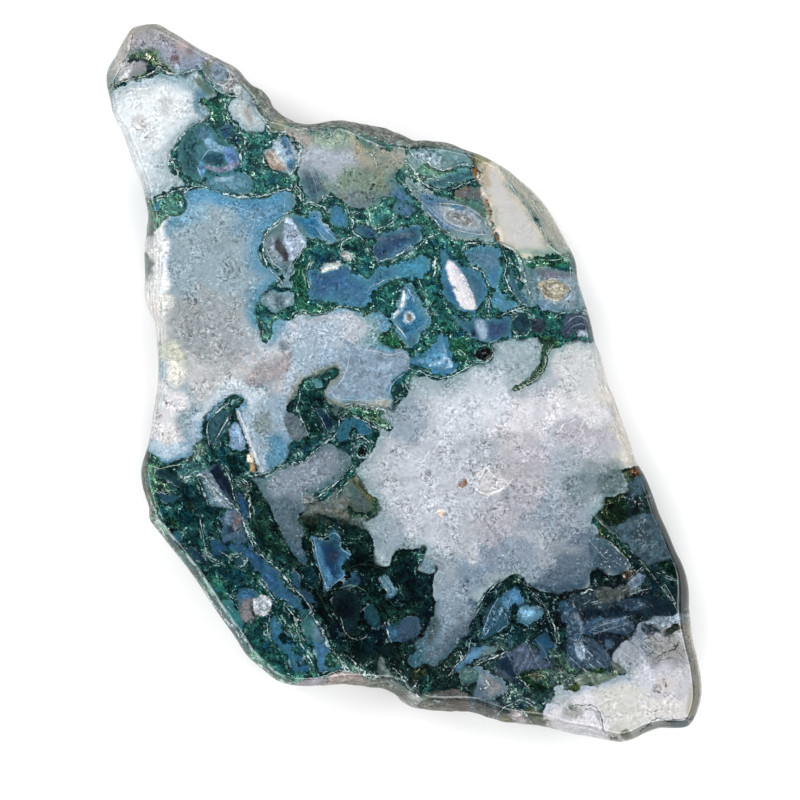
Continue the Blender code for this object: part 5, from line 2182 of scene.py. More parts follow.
class Painting:
    """What the material reads at each place, painted outline by outline."""

    def __init__(self, places):
        self.places = places
        self.drift = np.array([noise.noise_vector(Vector((x, y, 0)) / DRIFT_LENGTH)[:2] for x, y in places])
        count = len(places)
        self.wall = np.full(count, -REACH)
        self.filling = np.tile(linear(FIRST_FILLING), (count, 1))
        self.grain = np.zeros(count)
        self.skin = np.zeros(count)
        self.moss = np.tile(linear(MOSS_COLOUR), (count, 1))
        self.patch = np.full(count, -PATCH_REACH)
        self.patch_colour = self.filling.copy()
        self.druse = np.full(count, -PATCH_REACH)
        self.calm = np.zeros(count)
        self.wash = np.zeros(count)
        self.wash_colour = self.filling.copy()
        self.rays = np.zeros(count)
        self.heart = np.zeros((count, 3))
        self.pale_side, self.pale_gap = np.full(count, LINE_REACH), np.full(count, LINE_REACH)
        self.dark_side, self.dark_gap = np.full(count, LINE_REACH), np.full(count, LINE_REACH)
        self.dark_colour = np.tile(linear(LINE_COLOURS["crack"]), (count, 1))

    def cavity(self, kind, loop, middle, edge):
        depth = depth_inside(self.places, loop)
        share = smooth(depth / np.clip(MIDDLE_SHARE * depth.max(), *MIDDLE_RANGE))[:, None]
        own = linear(edge) * (1 - share) + linear(middle) * share
        take = (depth > self.wall) | (depth > -WALL_OVERLAP)
        grain, skin, tone = CAVITY_KINDS[kind]
        self.filling[take], self.grain[take], self.skin[take] = own[take] * tone, grain, skin
        self.wall = np.maximum(self.wall, depth)

    def island(self, loop, colour):
        depth = depth_inside(self.places, loop)
        self.wall = np.minimum(self.wall, -depth)
        self.patch = np.minimum(self.patch, np.maximum(-depth, -PATCH_REACH))
        self.moss[depth > -WALL_OVERLAP] = linear(colour)

    def cover(self, loop, softness):
        """How far each place is inside a soft outline whose edge wavers, from 0 to 1."""
        depth = depth_inside(self.places + self.drift * softness * DRIFT, loop, softness + SOFT_MARGIN)
        return smooth((depth + softness) / (2 * softness))

    def soft(self, target, loop, colour, softness, share):
        cover = (float(share) * self.cover(loop, float(softness)))[:, None]
        target[:] = target * (1 - cover) + linear(colour) * cover

    def washes(self, loop, colour, softness, share):
        cover = float(share) * self.cover(loop, float(softness))
        total = cover + self.wash * (1 - cover)
        part = (cover / np.maximum(total, 1e-6))[:, None]
        self.wash_colour = self.wash_colour * (1 - part) + linear(colour) * part
        self.wash = total

    def grains(self, loop, softness, level):
        cover = self.cover(loop, float(softness))
        self.grain = self.grain * (1 - cover) + float(level) * cover

    def calms(self, loop, softness, share):
        self.calm = np.maximum(self.calm, float(share) * self.cover(loop, float(softness)))

    def spot(self, loop, colour):
        depth = depth_inside(self.places, loop, PATCH_REACH)
        take = (depth > self.patch) | (depth > -SPOT_OVERLAP)
        self.patch_colour[take] = linear(colour)
        self.patch = np.maximum(self.patch, depth)

    def fan(self, loop, x, y, softness, share):
        softness = float(softness)
        depth = depth_inside(self.places, loop, softness + FAN_MARGIN)
        self.heart[depth > -softness - HEART_MARGIN] = (float(x), float(y), 0)
        self.rays = np.maximum(self.rays, float(share) * smooth((depth + softness) / (2 * softness)))

    def line(self, side, gap, spots, width):
        """A line of one width that thins out at its ends. Returns the places that it takes."""
        close = near(self.places, spots, LINE_REACH)
        if not close.any():
            return close
        curve = curve_through(spots, 4, closed=False) if len(spots) > 2 else spots
        beside, away = beside_line(self.places[close], curve)
        ends = np.minimum(*(np.hypot(*(self.places[close] - end).T) for end in (curve[0], curve[-1])))
        fullness = THIN_END + (1 - THIN_END) * smooth(ends / THINNING_LENGTH)
        half = 0.5 * float(width) * fullness
        beside, away = beside / half, away - half
        closer = away < gap[close]
        index = np.flatnonzero(close)[closer]
        side[index], gap[index] = beside[closer], away[closer]
        return index

    def crystals(self, loop, share):
        top = DRUSE_LOW + (DRUSE_HIGH - DRUSE_LOW) * float(share)
        depth = depth_inside(self.places, loop, PATCH_REACH)
        self.druse = np.maximum(self.druse, np.minimum(depth, top))

    def paint(self, kind, values, spots):
        """Lays one outline or line of the drawing over what is there."""
        if kind == "vein":
            self.line(self.pale_side, self.pale_gap, spots, values[0])
        elif kind in DARK_LINES:
            taken = self.line(self.dark_side, self.dark_gap, spots, values[0])
            self.dark_colour[taken] = linear(LINE_COLOURS[kind] if kind in LINE_COLOURS else values[1])
        else:
            self.fill(kind, curve_through(spots, SMOOTH_STEPS), values)

    def fill(self, kind, loop, values):
        if kind in CAVITY_KINDS:
            self.cavity(kind, loop, *values)
        elif kind == "tint":
            self.soft(self.filling, loop, *values)
        elif kind == "shade":
            self.soft(self.moss, loop, *values)
        else:
            ways = {"moss": self.island, "patch": self.spot, "wash": self.washes, "grain": self.grains,
                    "calm": self.calms, "rays": self.fan, "druse": self.crystals}
            ways[kind](loop, *values)

    def fields(self):
        return {name: values for name, values in vars(self).items() if name not in ("places", "drift")}


def drawing_places(places, heights):
    """Where on the drawing each vertex takes its markings from."""
    middle = 0.5 * (places.min(0) + places.max(0))
    down = np.clip(1 - heights / (THICKNESS / TENTH), 0, 1)[:, None]
    spots = [Vector((x, y, z)) / SIDE_WARP_LENGTH for (x, y), z in zip(places, heights)]
    warp = np.array([noise.noise_vector(spot)[:2] for spot in spots])
    return places + down * ((middle - places) * SIDE_PULL + warp * SIDE_WARP)


def outward_directions(curve):
    """Unit vectors out of a closed curve that runs clockwise on the sheet, smoothed round the corners."""
    along = np.roll(curve, -1, 0) - np.roll(curve, 1, 0)
    out = np.stack([along[:, 1], -along[:, 0]], 1)
    out /= np.hypot(*out.T)[:, None]
    half = CORNER_WINDOW // 2
    out = sum(np.roll(out, shift, 0) for shift in range(-half, half + 1))
    return out / np.hypot(*out.T)[:, None]


def rind_bump(x, y, z):
    """How far natural rind stands out at a point: broad lumps with finer grit on them."""
    place = Vector((x, y, z))
    lump = noise.noise(place / RIND_LUMP_LENGTH)
    grit = noise.noise(place / RIND_GRIT_LENGTH)
    return (RIND_LUMP * lump + RIND_GRIT * grit) / TENTH


def metres(places, heights):
    """Sheet places and heights, in tenths, as points in metres."""
    x = (places[:, 0] - SHEET_MIDDLE[0]) * TENTH
    y = (SHEET_MIDDLE[1] - places[:, 1]) * TENTH
    return np.stack([x, y, heights * TENTH], 1)


def side_rings():
    """The rings of the side from the face's edge to the back's edge, and how far each station is rind."""
    stations = evenly(curve_through(OUTLINE, CURVE_STEPS), STATIONS)
    places, rim, rind = stations[:, :2], stations[:, 2], stations[:, 3]
    outward = outward_directions(places)
    top, widest, inset = THICKNESS / TENTH, WIDEST_HEIGHT / TENTH, BACK_INSET / TENTH
    known = np.arange(len(RIM_SECTION))
    rings = []
    for step in np.linspace(0, len(RIM_SECTION) - 1, RIM_RINGS):
        inward, drop = (np.interp(step, known, column) for column in zip(*RIM_SECTION))
        rings.append((-rim * inward, top - rim * drop, min(1.0, LUMPS_BY_DROP * drop)))
    foot = rings[-1][1]
    for ring in range(1, WALL_RINGS + 1):
        rings.append((0 * rim, foot + (widest - foot) * ring / WALL_RINGS, 1.0))
    for ring in range(1, UNDER_RINGS + 1):
        angle = 0.5 * math.pi * ring / UNDER_RINGS
        shift = -inset * (1 - math.cos(angle)) + 0 * rim
        rings.append((shift, widest * (1 - math.sin(angle)) + 0 * rim, math.cos(angle)))
    made = []
    for shift, height, lumpy in rings:
        spots = metres(places + outward * shift[:, None], height)
        bumps = np.array([rind_bump(*spot) for spot in spots])
        made.append((places + outward * (shift + rind * lumpy * bumps)[:, None], height, rind * lumpy))
    return made


def filled(ring, spacing):
    """Faces that fill a ring: (places, corner numbers), the ring's own places first."""
    low, high = ring.min(0), ring.max(0)
    xs = np.arange(low[0], high[0] + spacing, spacing)
    ys = np.arange(low[1], high[1] + spacing, spacing)
    grid = np.stack(np.meshgrid(xs, ys), -1)
    flat = grid.reshape(-1, 2)
    clear = np.zeros(len(flat), bool)
    inner = is_inside(flat, ring)
    clear[inner] = distance_to(flat[inner], ring, np.roll(ring, -1, 0)) > RIM_CLEARANCE * spacing
    clear = clear.reshape(grid.shape[:2])
    cell = clear[:-1, :-1] & clear[1:, :-1] & clear[:-1, 1:] & clear[1:, 1:]
    used = np.zeros(clear.shape, bool)
    for rows in (slice(0, -1), slice(1, None)):
        for columns in (slice(0, -1), slice(1, None)):
            used[rows, columns] |= cell
    number = np.full(clear.shape, -1)
    number[used] = np.arange(used.sum()) + len(ring)
    places = np.vstack([ring, grid[used]])
    row, column = np.nonzero(cell)
    quads = np.stack([number[row, column], number[row + 1, column],
                      number[row + 1, column + 1], number[row, column + 1]], 1)
    edge = rim_edges(cell, number)
    loop = [(i, (i + 1) % len(ring)) for i in range(len(ring))]
    kept = sorted({i for pair in edge for i in pair} | set(range(len(ring))))
    local = {index: n for n, index in enumerate(kept)}
    pairs = [(local[a], local[b]) for a, b in loop + edge]
    result = delaunay_2d_cdt([Vector(places[i]) for i in kept], pairs, [], 0, SAME_PLACE)
    if len(result[0]) != len(kept):
        raise RuntimeError("the face's rim made new points")
    triangles = np.array([[kept[result[3][i][0]] for i in face] for face in result[2]])
    middle = places[triangles].mean(1)
    at = np.floor((middle - low) / spacing).astype(int)
    at = np.clip(at, 0, [cell.shape[1] - 1, cell.shape[0] - 1])
    keep = is_inside(middle, ring) & ~cell[at[:, 1], at[:, 0]]
    return places, [*quads.tolist(), *triangles[keep].tolist()]


def rim_edges(cell, number):
    """The edges between kept and dropped cells of a grid, as pairs of point numbers."""
    edges = []
    padded = np.pad(cell, 1)
    for row, column in zip(*np.nonzero(cell)):
        if not padded[row, column + 1]:
            edges.append((int(number[row, column]), int(number[row, column + 1])))
        if not padded[row + 2, column + 1]:
            edges.append((int(number[row + 1, column]), int(number[row + 1, column + 1])))
        if not padded[row + 1, column]:
            edges.append((int(number[row, column]), int(number[row + 1, column])))
        if not padded[row + 1, column + 2]:
            edges.append((int(number[row, column + 1]), int(number[row + 1, column + 1])))
    return edges


def pit_depths(places):
    """How far the open pits sink the polished face, in tenths."""
    sunk = np.zeros(len(places))
    for x, y, half_length, half_width, turn, depth in PITS.values():
        angle = math.radians(turn)
        off = places - (x, y)
        u = (off[:, 0] * math.cos(angle) - off[:, 1] * math.sin(angle)) / half_length
        v = (off[:, 0] * math.sin(angle) + off[:, 1] * math.cos(angle)) / half_width
        sunk = np.maximum(sunk, depth * np.sqrt(np.clip(1 - u**2 - v**2, 0, 1)))
    return sunk


def perimeter(places):
    """How far along a closed ring each of its places is."""
    return np.concatenate([[0.0], np.cumsum(np.hypot(*np.diff(places, axis=0).T))])


def travelled(rings, number):
    """How far down the side from the face's edge a ring lies, station by station."""
    total = np.zeros(STATIONS)
    for upper, lower in zip(rings[:number], rings[1:number + 1]):
        total += np.sqrt(((lower[0] - upper[0])**2).sum(1) + (lower[1] - upper[1])**2)
    return total


def corner_numbers(mesh):
    """For each corner of each face: the number of its face and of its vertex."""
    vertex = np.empty(len(mesh.loops), int)
    sizes = np.empty(len(mesh.polygons), int)
    mesh.loops.foreach_get("vertex_index", vertex)
    mesh.polygons.foreach_get("loop_total", sizes)
    return np.repeat(np.arange(len(sizes)), sizes), vertex


def lay_out(mesh, places, rings, face_places, face_faces, back_faces):
    """A map for a picture of the colours: the face large, the side in upright strips, the back small."""
    face, vertex = corner_numbers(mesh)
    first = face_faces + (RIM_RINGS - 1) * STATIONS
    on_back = face >= len(mesh.polygons) - back_faces
    on_side = (face >= first) & ~on_back
    spots = MAP_MARGIN + (places[vertex] - places.min(0)) * MAP_FACE_SCALE
    spots[on_back] = MAP_BACK_CORNER + (places[vertex[on_back]] - places.min(0)) * MAP_BACK_SCALE
    run = perimeter(np.vstack([rings[0][0], rings[0][0][:1]]))
    down = np.array([travelled(rings, ring) for ring in range(1, len(rings))])
    down -= down[RIM_RINGS - 2]
    station = (face[on_side] - first) % STATIONS
    strip = station * MAP_STRIPS // STATIONS
    start = run[-(-strip * STATIONS // MAP_STRIPS)]
    ring, at = np.divmod(vertex[on_side] - face_places, STATIONS)
    along = run[np.where((at == 0) & (station == STATIONS - 1), STATIONS, at)] - start
    across = MAP_SIDE_LEFT + strip * MAP_STRIP_STEP + down[ring, at] * MAP_SIDE_SCALE
    spots[on_side] = np.stack([across, MAP_MARGIN + along * MAP_SIDE_SCALE], 1)
    layer = mesh.uv_layers.new(name="OFBake")
    layer.uv.foreach_set("vector", (spots / MAP_SIZE).astype(np.float32).ravel())


def stone_mesh():
    """The stone's mesh, with the sheet place and height of each vertex, and what is known of its side."""
    rings = side_rings()
    face_places, face_faces = filled(rings[0][0], FACE_GRID)
    back_places, back_faces = filled(rings[-1][0], BACK_GRID)
    top = THICKNESS / TENTH
    between = rings[1:-1]
    places = [face_places] + [ring[0] for ring in between] + [back_places]
    heights = [top - pit_depths(face_places)] + [ring[1] for ring in between] + [np.zeros(len(back_places))]
    rinds = [np.zeros(len(face_places))] + [ring[2] for ring in between] + [np.zeros(len(back_places))]
    run = perimeter(rings[0][0])
    runs = [np.zeros(len(face_places))] + [run] * len(between) + [np.zeros(len(back_places))]
    runs[0][:STATIONS] = run
    rims = [np.zeros(len(face_places))] + [travelled(rings, n) for n in range(1, len(rings) - 1)]
    rims.append(np.zeros(len(back_places)))
    starts = np.cumsum([0] + [len(block) for block in places])
    ring_starts = [0, *starts[1:len(rings)]]
    faces = list(face_faces)
    for upper, lower in zip(ring_starts, ring_starts[1:]):
        for i in range(STATIONS):
            j = (i + 1) % STATIONS
            faces.append([upper + i, upper + j, lower + j, lower + i])
    faces += [[ring_starts[-1] + i for i in face] for face in back_faces]
    places, heights = np.vstack(places), np.concatenate(heights)
    mesh = bpy.data.meshes.new("moss_agate_stone")
    mesh.from_pydata(metres(places, heights), [], faces)
    shape = bmesh.new()
    shape.from_mesh(mesh)
    bmesh.ops.recalc_face_normals(shape, faces=shape.faces)
    shape.to_mesh(mesh)
    shape.free()
    mesh.shade_smooth()
    lay_out(mesh, places, rings, len(face_places), len(face_faces), len(back_faces))
    side = {"rind": np.concatenate(rinds), "run": np.concatenate(runs), "rim": np.concatenate(rims)}
    return mesh, places, heights, side


def store(mesh, fields):
    """Keeps each field as a vertex attribute: colours, vectors or plain values."""
    for name, values in fields.items():
        if name in COLOUR_FIELDS:
            layer = mesh.attributes.new(name, "FLOAT_COLOR", "POINT")
            layer.data.foreach_set("color", np.insert(values, 3, 1.0, axis=1).ravel())
        elif values.ndim == 2:
            layer = mesh.attributes.new(name, "FLOAT_VECTOR", "POINT")
            layer.data.foreach_set("vector", values.ravel())
        else:
            layer = mesh.attributes.new(name, "FLOAT", "POINT")
            layer.data.foreach_set("value", values)


class Shades:
    """Short calls that add shader nodes to one material."""

    def __init__(self, material):
        self.tree = material.node_tree

    def node(self, kind, *inputs, **settings):
        made = self.tree.nodes.new(kind)
        for name, value in settings.items():
            setattr(made, name, value)
        for socket, value in zip(made.inputs, inputs):
            self.feed(socket, value)
        return made

    def feed(self, socket, value):
        if isinstance(value, bpy.types.NodeSocket):
            self.tree.links.new(value, socket)
        elif value is not None:
            socket.default_value = value

    def field(self, name):
        """What the mesh stores under a name."""
        made = self.node("ShaderNodeAttribute", attribute_name=name)
        if name == "heart":
            return made.outputs["Vector"]
        return made.outputs["Color" if name in COLOUR_FIELDS else "Fac"]

    def math(self, operation, *inputs):
        return self.node("ShaderNodeMath", *inputs, operation=operation).outputs[0]

    def plus(self, first, *others):
        for other in others:
            first = self.math("ADD", first, other)
        return first

    def times(self, first, *others):
        for other in others:
            first = self.math("MULTIPLY", first, other)
        return first

    def rest(self, share):
        """What a share leaves of one."""
        return self.math("SUBTRACT", 1.0, share)

    def away(self, value, level):
        """How far a value is from a level."""
        return self.math("ABSOLUTE", self.plus(value, -level))

    def vector(self, operation, *inputs):
        return self.node("ShaderNodeVectorMath", *inputs, operation=operation).outputs[0]

    def scaled(self, vector, factor):
        made = self.node("ShaderNodeVectorMath", vector, operation="SCALE")
        self.feed(made.inputs["Scale"], factor)
        return made.outputs[0]

    def lit(self, tone, factor):
        """A colour made lighter or darker by a factor."""
        return self.scaled(tone, factor)

    def tinted(self, tone, factors):
        """A colour with a factor for each of red, green and blue."""
        return self.vector("MULTIPLY", tone, factors)

    def gamma(self, tone, power):
        return self.node("ShaderNodeGamma", tone, power).outputs[0]

    def mix(self, share, first, second, blend="MIX"):
        made = self.node("ShaderNodeMix", data_type="RGBA", blend_type=blend)
        for index, value in ((0, share), (6, first), (7, second)):
            self.feed(made.inputs[index], value)
        return made.outputs[2]

    def over(self, below, mask, share, tone):
        """A tone laid over what is below where the mask is, at a share."""
        return self.mix(self.times(mask, share), below, tone)

    def step(self, value, low, high, bottom=0.0, top=1.0):
        """A smooth step from bottom to top as the value goes from low to high."""
        made = self.node("ShaderNodeMapRange", value, low, high, bottom, top, interpolation_type="SMOOTHSTEP")
        return made.outputs[0]

    def noise(self, place, size, detail=2.0, roughness=0.5, output="Fac"):
        made = self.node("ShaderNodeTexNoise")
        settings = {"Vector": place, "Scale": 1 / size, "Detail": detail, "Roughness": roughness}
        for name, value in settings.items():
            self.feed(made.inputs[name], value)
        return made.outputs[output]

    def swing(self, place, size, amount, detail=2.0, roughness=0.5):
        """Noise that swings evenly to both sides of zero."""
        return self.times(self.math("SUBTRACT", self.noise(place, size, detail, roughness), 0.5), 2 * amount)

    def patches(self, place, size, low, high, detail=2.0, roughness=0.5, bottom=0.0, top=1.0):
        """Cloudy patches of one size: a smooth step of noise."""
        return self.step(self.noise(place, size, detail, roughness), low, high, bottom, top)

    def winding(self, place, size, fade, core, detail, roughness, level=0.5):
        """Thin winding lines, where noise crosses a level."""
        return self.step(self.away(self.noise(place, size, detail, roughness), level), fade, core)

    def cells(self, place, size, feature="F1", output="Color"):
        made = self.node("ShaderNodeTexVoronoi", feature=feature)
        self.feed(made.inputs["Vector"], place)
        self.feed(made.inputs["Scale"], 1 / size)
        return made.outputs[output]

    def facets(self, place, size):
        """One random value between minus a half and a half in each cell."""
        value = self.node("ShaderNodeSeparateColor", self.cells(place, size)).outputs[0]
        return self.math("SUBTRACT", value, 0.5)


def colour(text):
    return (*linear(text), 1.0)


def in_tenths(make):
    """Where a point is, in tenths of a millimetre from the origin."""
    return make.scaled(make.node("ShaderNodeTexCoord").outputs["Object"], 1 / TENTH)


def along_growth(make, place):
    """The place, pressed together along the direction of growth, so that fine noise there looks fibrous."""
    product = make.node("ShaderNodeVectorMath", place, GROWTH_DIRECTION, operation="DOT_PRODUCT")
    pressed = make.times(product.outputs["Value"], GROWTH_PRESS)
    return make.vector("SUBTRACT", place, make.scaled(GROWTH_DIRECTION, pressed))


def along_rays(make, place, fineness, pace):
    """A place for noise that is drawn out along the rays from their heart."""
    away = make.vector("SUBTRACT", place, make.field("heart"))
    length = make.node("ShaderNodeVectorMath", away, operation="LENGTH").outputs["Value"]
    slide = make.node("ShaderNodeCombineXYZ", 0.0, 0.0, make.times(length, pace)).outputs[0]
    return make.vector("ADD", make.scaled(make.vector("NORMALIZE", away), fineness), slide)


def filling_change(make, place, bent, wall, smooth_part):
    """How much lighter or darker a filling is from place to place: clouds, faint bands, grains and rays."""
    cloud = make.plus(make.swing(place, 30, 0.14, 3.0, 0.6), make.swing(place, 7, 0.26, 4.0, 0.7))
    band = make.math("SINE", make.plus(make.times(wall, 1.7), make.swing(place, 12, 5.0)))
    band = make.times(make.times(band, make.step(wall, 16, 2)), make.times(smooth_part, 0.10))
    rough = make.plus(make.swing(bent, 2.7, 0.95, 1.0, 0.6), make.swing(bent, 6, 0.5, 3.0, 0.8))
    rough = make.times(rough, make.patches(place, 20, 0.36, 0.64, 3.0, 0.6, 0.25, 1.5))
    rough = make.plus(rough, make.times(make.facets(place, 21), 0.14))
    rough = make.times(rough, make.step(make.field("grain"), 0.0, 1.0, 1.35, 1.0))
    streak = make.swing(along_rays(make, place, fineness=8.0, pace=0.035), 1.0, 1.0, 4.0, 0.75)
    streak = make.times(streak, make.field("rays"))
    return make.plus(cloud, make.plus(band, rough, streak))


def lined(make, place, wall, smooth_part, filling):
    """A filling with dark murk and pale wisps in it, and a veil of moss and a glow along its walls."""
    own, skin = make.field("filling"), make.field("skin")
    murk = make.times(make.patches(place, 13, 0.46, 0.64, 4.0, 0.65), make.times(skin, 0.5))
    filling = make.mix(make.times(murk, smooth_part), filling, make.lit(own, 0.45))
    wisp = make.winding(place, 10, 0.03, 0.0, 4.0, 0.6)
    wisp = make.times(wisp, make.patches(place, 17, 0.50, 0.62), skin, smooth_part)
    filling = make.over(filling, wisp, 0.45, make.lit(own, 1.9))
    veil = make.times(make.step(wall, 9, 0), make.patches(place, 19, 0.38, 0.58))
    veil = make.times(veil, make.plus(make.times(smooth_part, 0.30), 0.30))
    filling = make.mix(veil, filling, make.lit(make.field("moss"), 1.4))
    glow = make.times(make.step(wall, 3.2, 1.4), make.step(wall, 0.0, 1.2), skin)
    glow = make.times(glow, make.patches(place, 13, 0.42, 0.60))
    return make.over(filling, glow, 0.55, make.lit(own, 1.7))


def flecked(make, place, filling):
    """A filling with the pale and dim flecks of its grain, which turn into splinters along the rays."""
    crumb = make.noise(place, 2.8, 2.0, 0.65)
    splinter = make.noise(along_rays(make, place, fineness=27.0, pace=0.15), 1.0, 2.0, 0.6)
    fleck = make.plus(crumb, make.times(make.field("rays"), make.math("SUBTRACT", splinter, crumb)))
    pale = make.times(make.step(fleck, 0.57, 0.72), make.patches(place, 22, 0.42, 0.64, 3.0, 0.5, 0.08, 1.0))
    dim = make.times(make.step(fleck, 0.42, 0.28), make.patches(place, 18, 0.38, 0.60, 3.0, 0.5, 0.2, 1.0))
    share = make.plus(make.times(make.field("grain"), 0.80), 0.06)
    share = make.math("MINIMUM", make.times(share, make.rest(make.field("calm"))), 1.0)
    filling = make.over(filling, make.times(dim, share), 0.5, make.lit(make.field("filling"), 0.52))
    spark = make.mix(0.3, colour(FLECK_COLOUR), make.lit(filling, 2.0))
    return make.mix(make.times(pale, share), filling, spark)


def filling_shades(make, place, bent, wall):
    """Chalcedony with faint bands along its walls, and quartz with grains, flecks and fans of rays."""
    smooth_part = make.math("MAXIMUM", make.rest(make.field("grain")), 0.0)
    change = filling_change(make, place, bent, wall, smooth_part)
    change = make.times(change, make.rest(make.field("calm")))
    filling = make.lit(make.field("filling"), make.plus(1.0, change))
    return flecked(make, place, lined(make, place, wall, smooth_part, filling))


def moss_ground(make, place, bent, moss):
    """Dark moss: light and dark growth with olive parts, small hidden pools and black hollows."""
    shade = make.lit(moss, make.patches(bent, 15, 0.30, 0.70, 4.0, 0.52, 0.40, 0.94))
    olive = make.patches(place, 26, 0.50, 0.66, 3.0)
    shade = make.over(shade, olive, 0.32, make.tinted(shade, (1.2, 1.0, 0.6)))
    pool = make.patches(make.vector("ADD", bent, POOL_SHIFT), 16, 0.56, 0.66)
    shade = make.over(shade, pool, 0.4, make.tinted(moss, (0.7, 1.1, 1.8)))
    hollow = make.patches(along_growth(make, bent), 3.8, 0.52, 0.40, 3.0, 0.65)
    return make.over(shade, hollow, 0.66, make.lit(moss, 0.12))


def threaded(make, place, bent, moss, pale, shade):
    """Moss with green threads and paler blades that wind through it."""
    thread = make.winding(along_growth(make, bent), 6.0, 0.036, 0.008, 3.0, 0.62)
    thread = make.times(thread, make.patches(place, 14, 0.38, 0.56, 3.0))
    shade = make.over(shade, thread, 0.85, make.tinted(moss, (2.5, 2.3, 1.8)))
    blade = make.winding(bent, 9, 0.020, 0.005, 2.0, 0.5, level=0.47)
    blade = make.times(blade, make.patches(place, 21, 0.46, 0.60))
    return make.over(shade, blade, 0.45, make.tinted(pale, (0.70, 0.76, 0.58)))


def beaded(make, place, bent, wall, pale, shade):
    """Moss with cream beads strung along its walls and in a net through it."""
    bead = make.patches(place, 2.2, 0.42, 0.58, 1.0, 0.5, 0.15, 1.1)
    cream = make.tinted(pale, (2.9, 2.2, 1.9))
    trail = make.plus(wall, make.plus(make.swing(place, 8, 7.0, 3.0, 0.65), 3.5))
    trail = make.step(make.math("ABSOLUTE", trail), 1.2, 0.4)
    trail = make.times(trail, make.patches(place, 9, 0.52, 0.59, 4.0, 0.75))
    shade = make.over(shade, make.times(trail, bead), 0.85, cream)
    net = make.step(make.cells(bent, 15, "DISTANCE_TO_EDGE", "Distance"), 0.055, 0.02)
    net = make.times(net, make.patches(place, 14, 0.54, 0.62, 4.0, 0.7))
    return make.over(shade, make.times(net, bead), 0.45, cream)


def laced(make, place, bent, wall, moss, pale, shade):
    """Moss with lace along its walls and membranes, pale specks, and a dark rim round each cavity."""
    shore = make.math("MAXIMUM", make.step(wall, -9, -2), make.step(make.field("pale_gap"), 6.0, 0.5))
    lace = make.winding(bent, 6.0, 0.036, 0.008, 3.0, 0.6)
    lace = make.times(lace, shore, make.patches(place, 11, 0.50, 0.60, 3.0))
    shade = make.over(shade, lace, 0.80, make.tinted(pale, (1.15, 1.15, 0.92)))
    speck = make.times(make.patches(place, 2.6, 0.62, 0.74, 1.0), make.patches(place, 17, 0.44, 0.62))
    shade = make.over(shade, speck, 0.36, make.tinted(pale, (1.3, 1.15, 1.0)))
    rim = make.times(make.step(wall, -4.5, -1.6), make.step(wall, -0.1, -0.9))
    return make.over(shade, rim, 0.45, make.lit(moss, 0.15))


def moss_shades(make, place, bent, wall):
    """Moss with its threads, beads and lace, deepened and toned as a whole."""
    moss = make.field("moss")
    pale = make.gamma(moss, PALE_GAMMA)
    shade = moss_ground(make, place, bent, moss)
    shade = threaded(make, place, bent, moss, pale, shade)
    shade = beaded(make, place, bent, wall, pale, shade)
    shade = laced(make, place, bent, wall, moss, pale, shade)
    return make.tinted(make.gamma(shade, MOSS_DEPTH), MOSS_TONE)


def skinned(make, place, wall, pale_moss, base):
    """The pale skin that lines the wall of a cavity."""
    skin = make.step(make.away(wall, 0.2), 1.1, 0.4)
    skin = make.times(skin, make.field("skin"), make.patches(place, 9, 0.46, 0.60, 4.0, 0.7, 0.0, 0.85))
    tone = make.mix(make.patches(place, 6, 0.4, 0.6, 2.0, 0.5, 0.0, 0.6), pale_moss, colour(SKIN_COLOUR))
    tone = make.mix(make.patches(place, 16, 0.50, 0.62), make.lit(make.field("filling"), 1.75), tone)
    return make.over(base, skin, 0.8, tone)


def spotted(make, place, bent, ripple, base):
    """Crisp spots and ragged washes, both uneven in tone."""
    uneven = make.plus(make.swing(bent, 12, 0.7, 4.0, 0.65), make.swing(bent, 2.8, 1.0, 2.0, 0.7))
    uneven = make.plus(uneven, make.times(make.facets(bent, 5.0), 0.5))
    uneven = make.times(make.plus(uneven, -0.08), make.rest(make.field("calm")))
    uneven = make.math("POWER", 4.0, uneven)
    spot = make.step(make.plus(make.field("patch"), ripple), -1.8, 1.4)
    base = make.mix(spot, base, make.lit(make.field("patch_colour"), uneven))
    wash = make.field("wash")
    blot = make.step(make.plus(wash, make.swing(place, 7, 0.75, 4.0, 0.7)), 0.25, 0.75)
    blot = make.math("MINIMUM", blot, make.step(wash, 0.0, 0.25))
    return make.mix(blot, base, make.lit(make.field("wash_colour"), uneven))


def crystalline(make, place, bent, ripple, base):
    """Druse: clusters of pale crystals with painted glints on them, and dark gaps between them that are
    partly painted shade.
    """
    crystal = make.noise(bent, 3.0, 2.0, 0.65)
    cluster = make.patches(place, 13, 0.42, 0.56, 3.0, 0.65, 0.2, 1.0)
    # Painted glints on the crystals, partly their own pale colour, then painted shade in the gaps between
    # them.
    painted_glint = make.mix(0.45, colour(CRYSTAL_GLINT_COLOUR), make.lit(base, 2.4))
    glinted = make.mix(make.times(make.step(crystal, 0.53, 0.66), cluster), base, painted_glint)
    glinted = make.over(glinted, make.step(crystal, 0.45, 0.33), 0.7, colour(GAP_SHADE_COLOUR))
    share = make.step(make.plus(make.field("druse"), ripple), DRUSE_LOW, DRUSE_HIGH, 0.0, 0.8)
    return make.mix(share, base, glinted)


def line_share(make, name, core=0.5, fade=1.0):
    """How much of a drawn line shows at a place. Its edges waver and its width changes along it."""
    place = in_tenths(make)
    waver = make.swing(place, 4.8, 2.3, 3.0, 0.65)
    beside = make.math("ABSOLUTE", make.plus(make.field(name + "_side"), waver))
    beside = make.times(beside, make.patches(place, 9, 0.35, 0.65, 2.0, 0.5, 0.8, 2.6))
    return make.times(make.step(beside, fade, core), make.step(make.field(name + "_gap"), 1.7, 0.7))


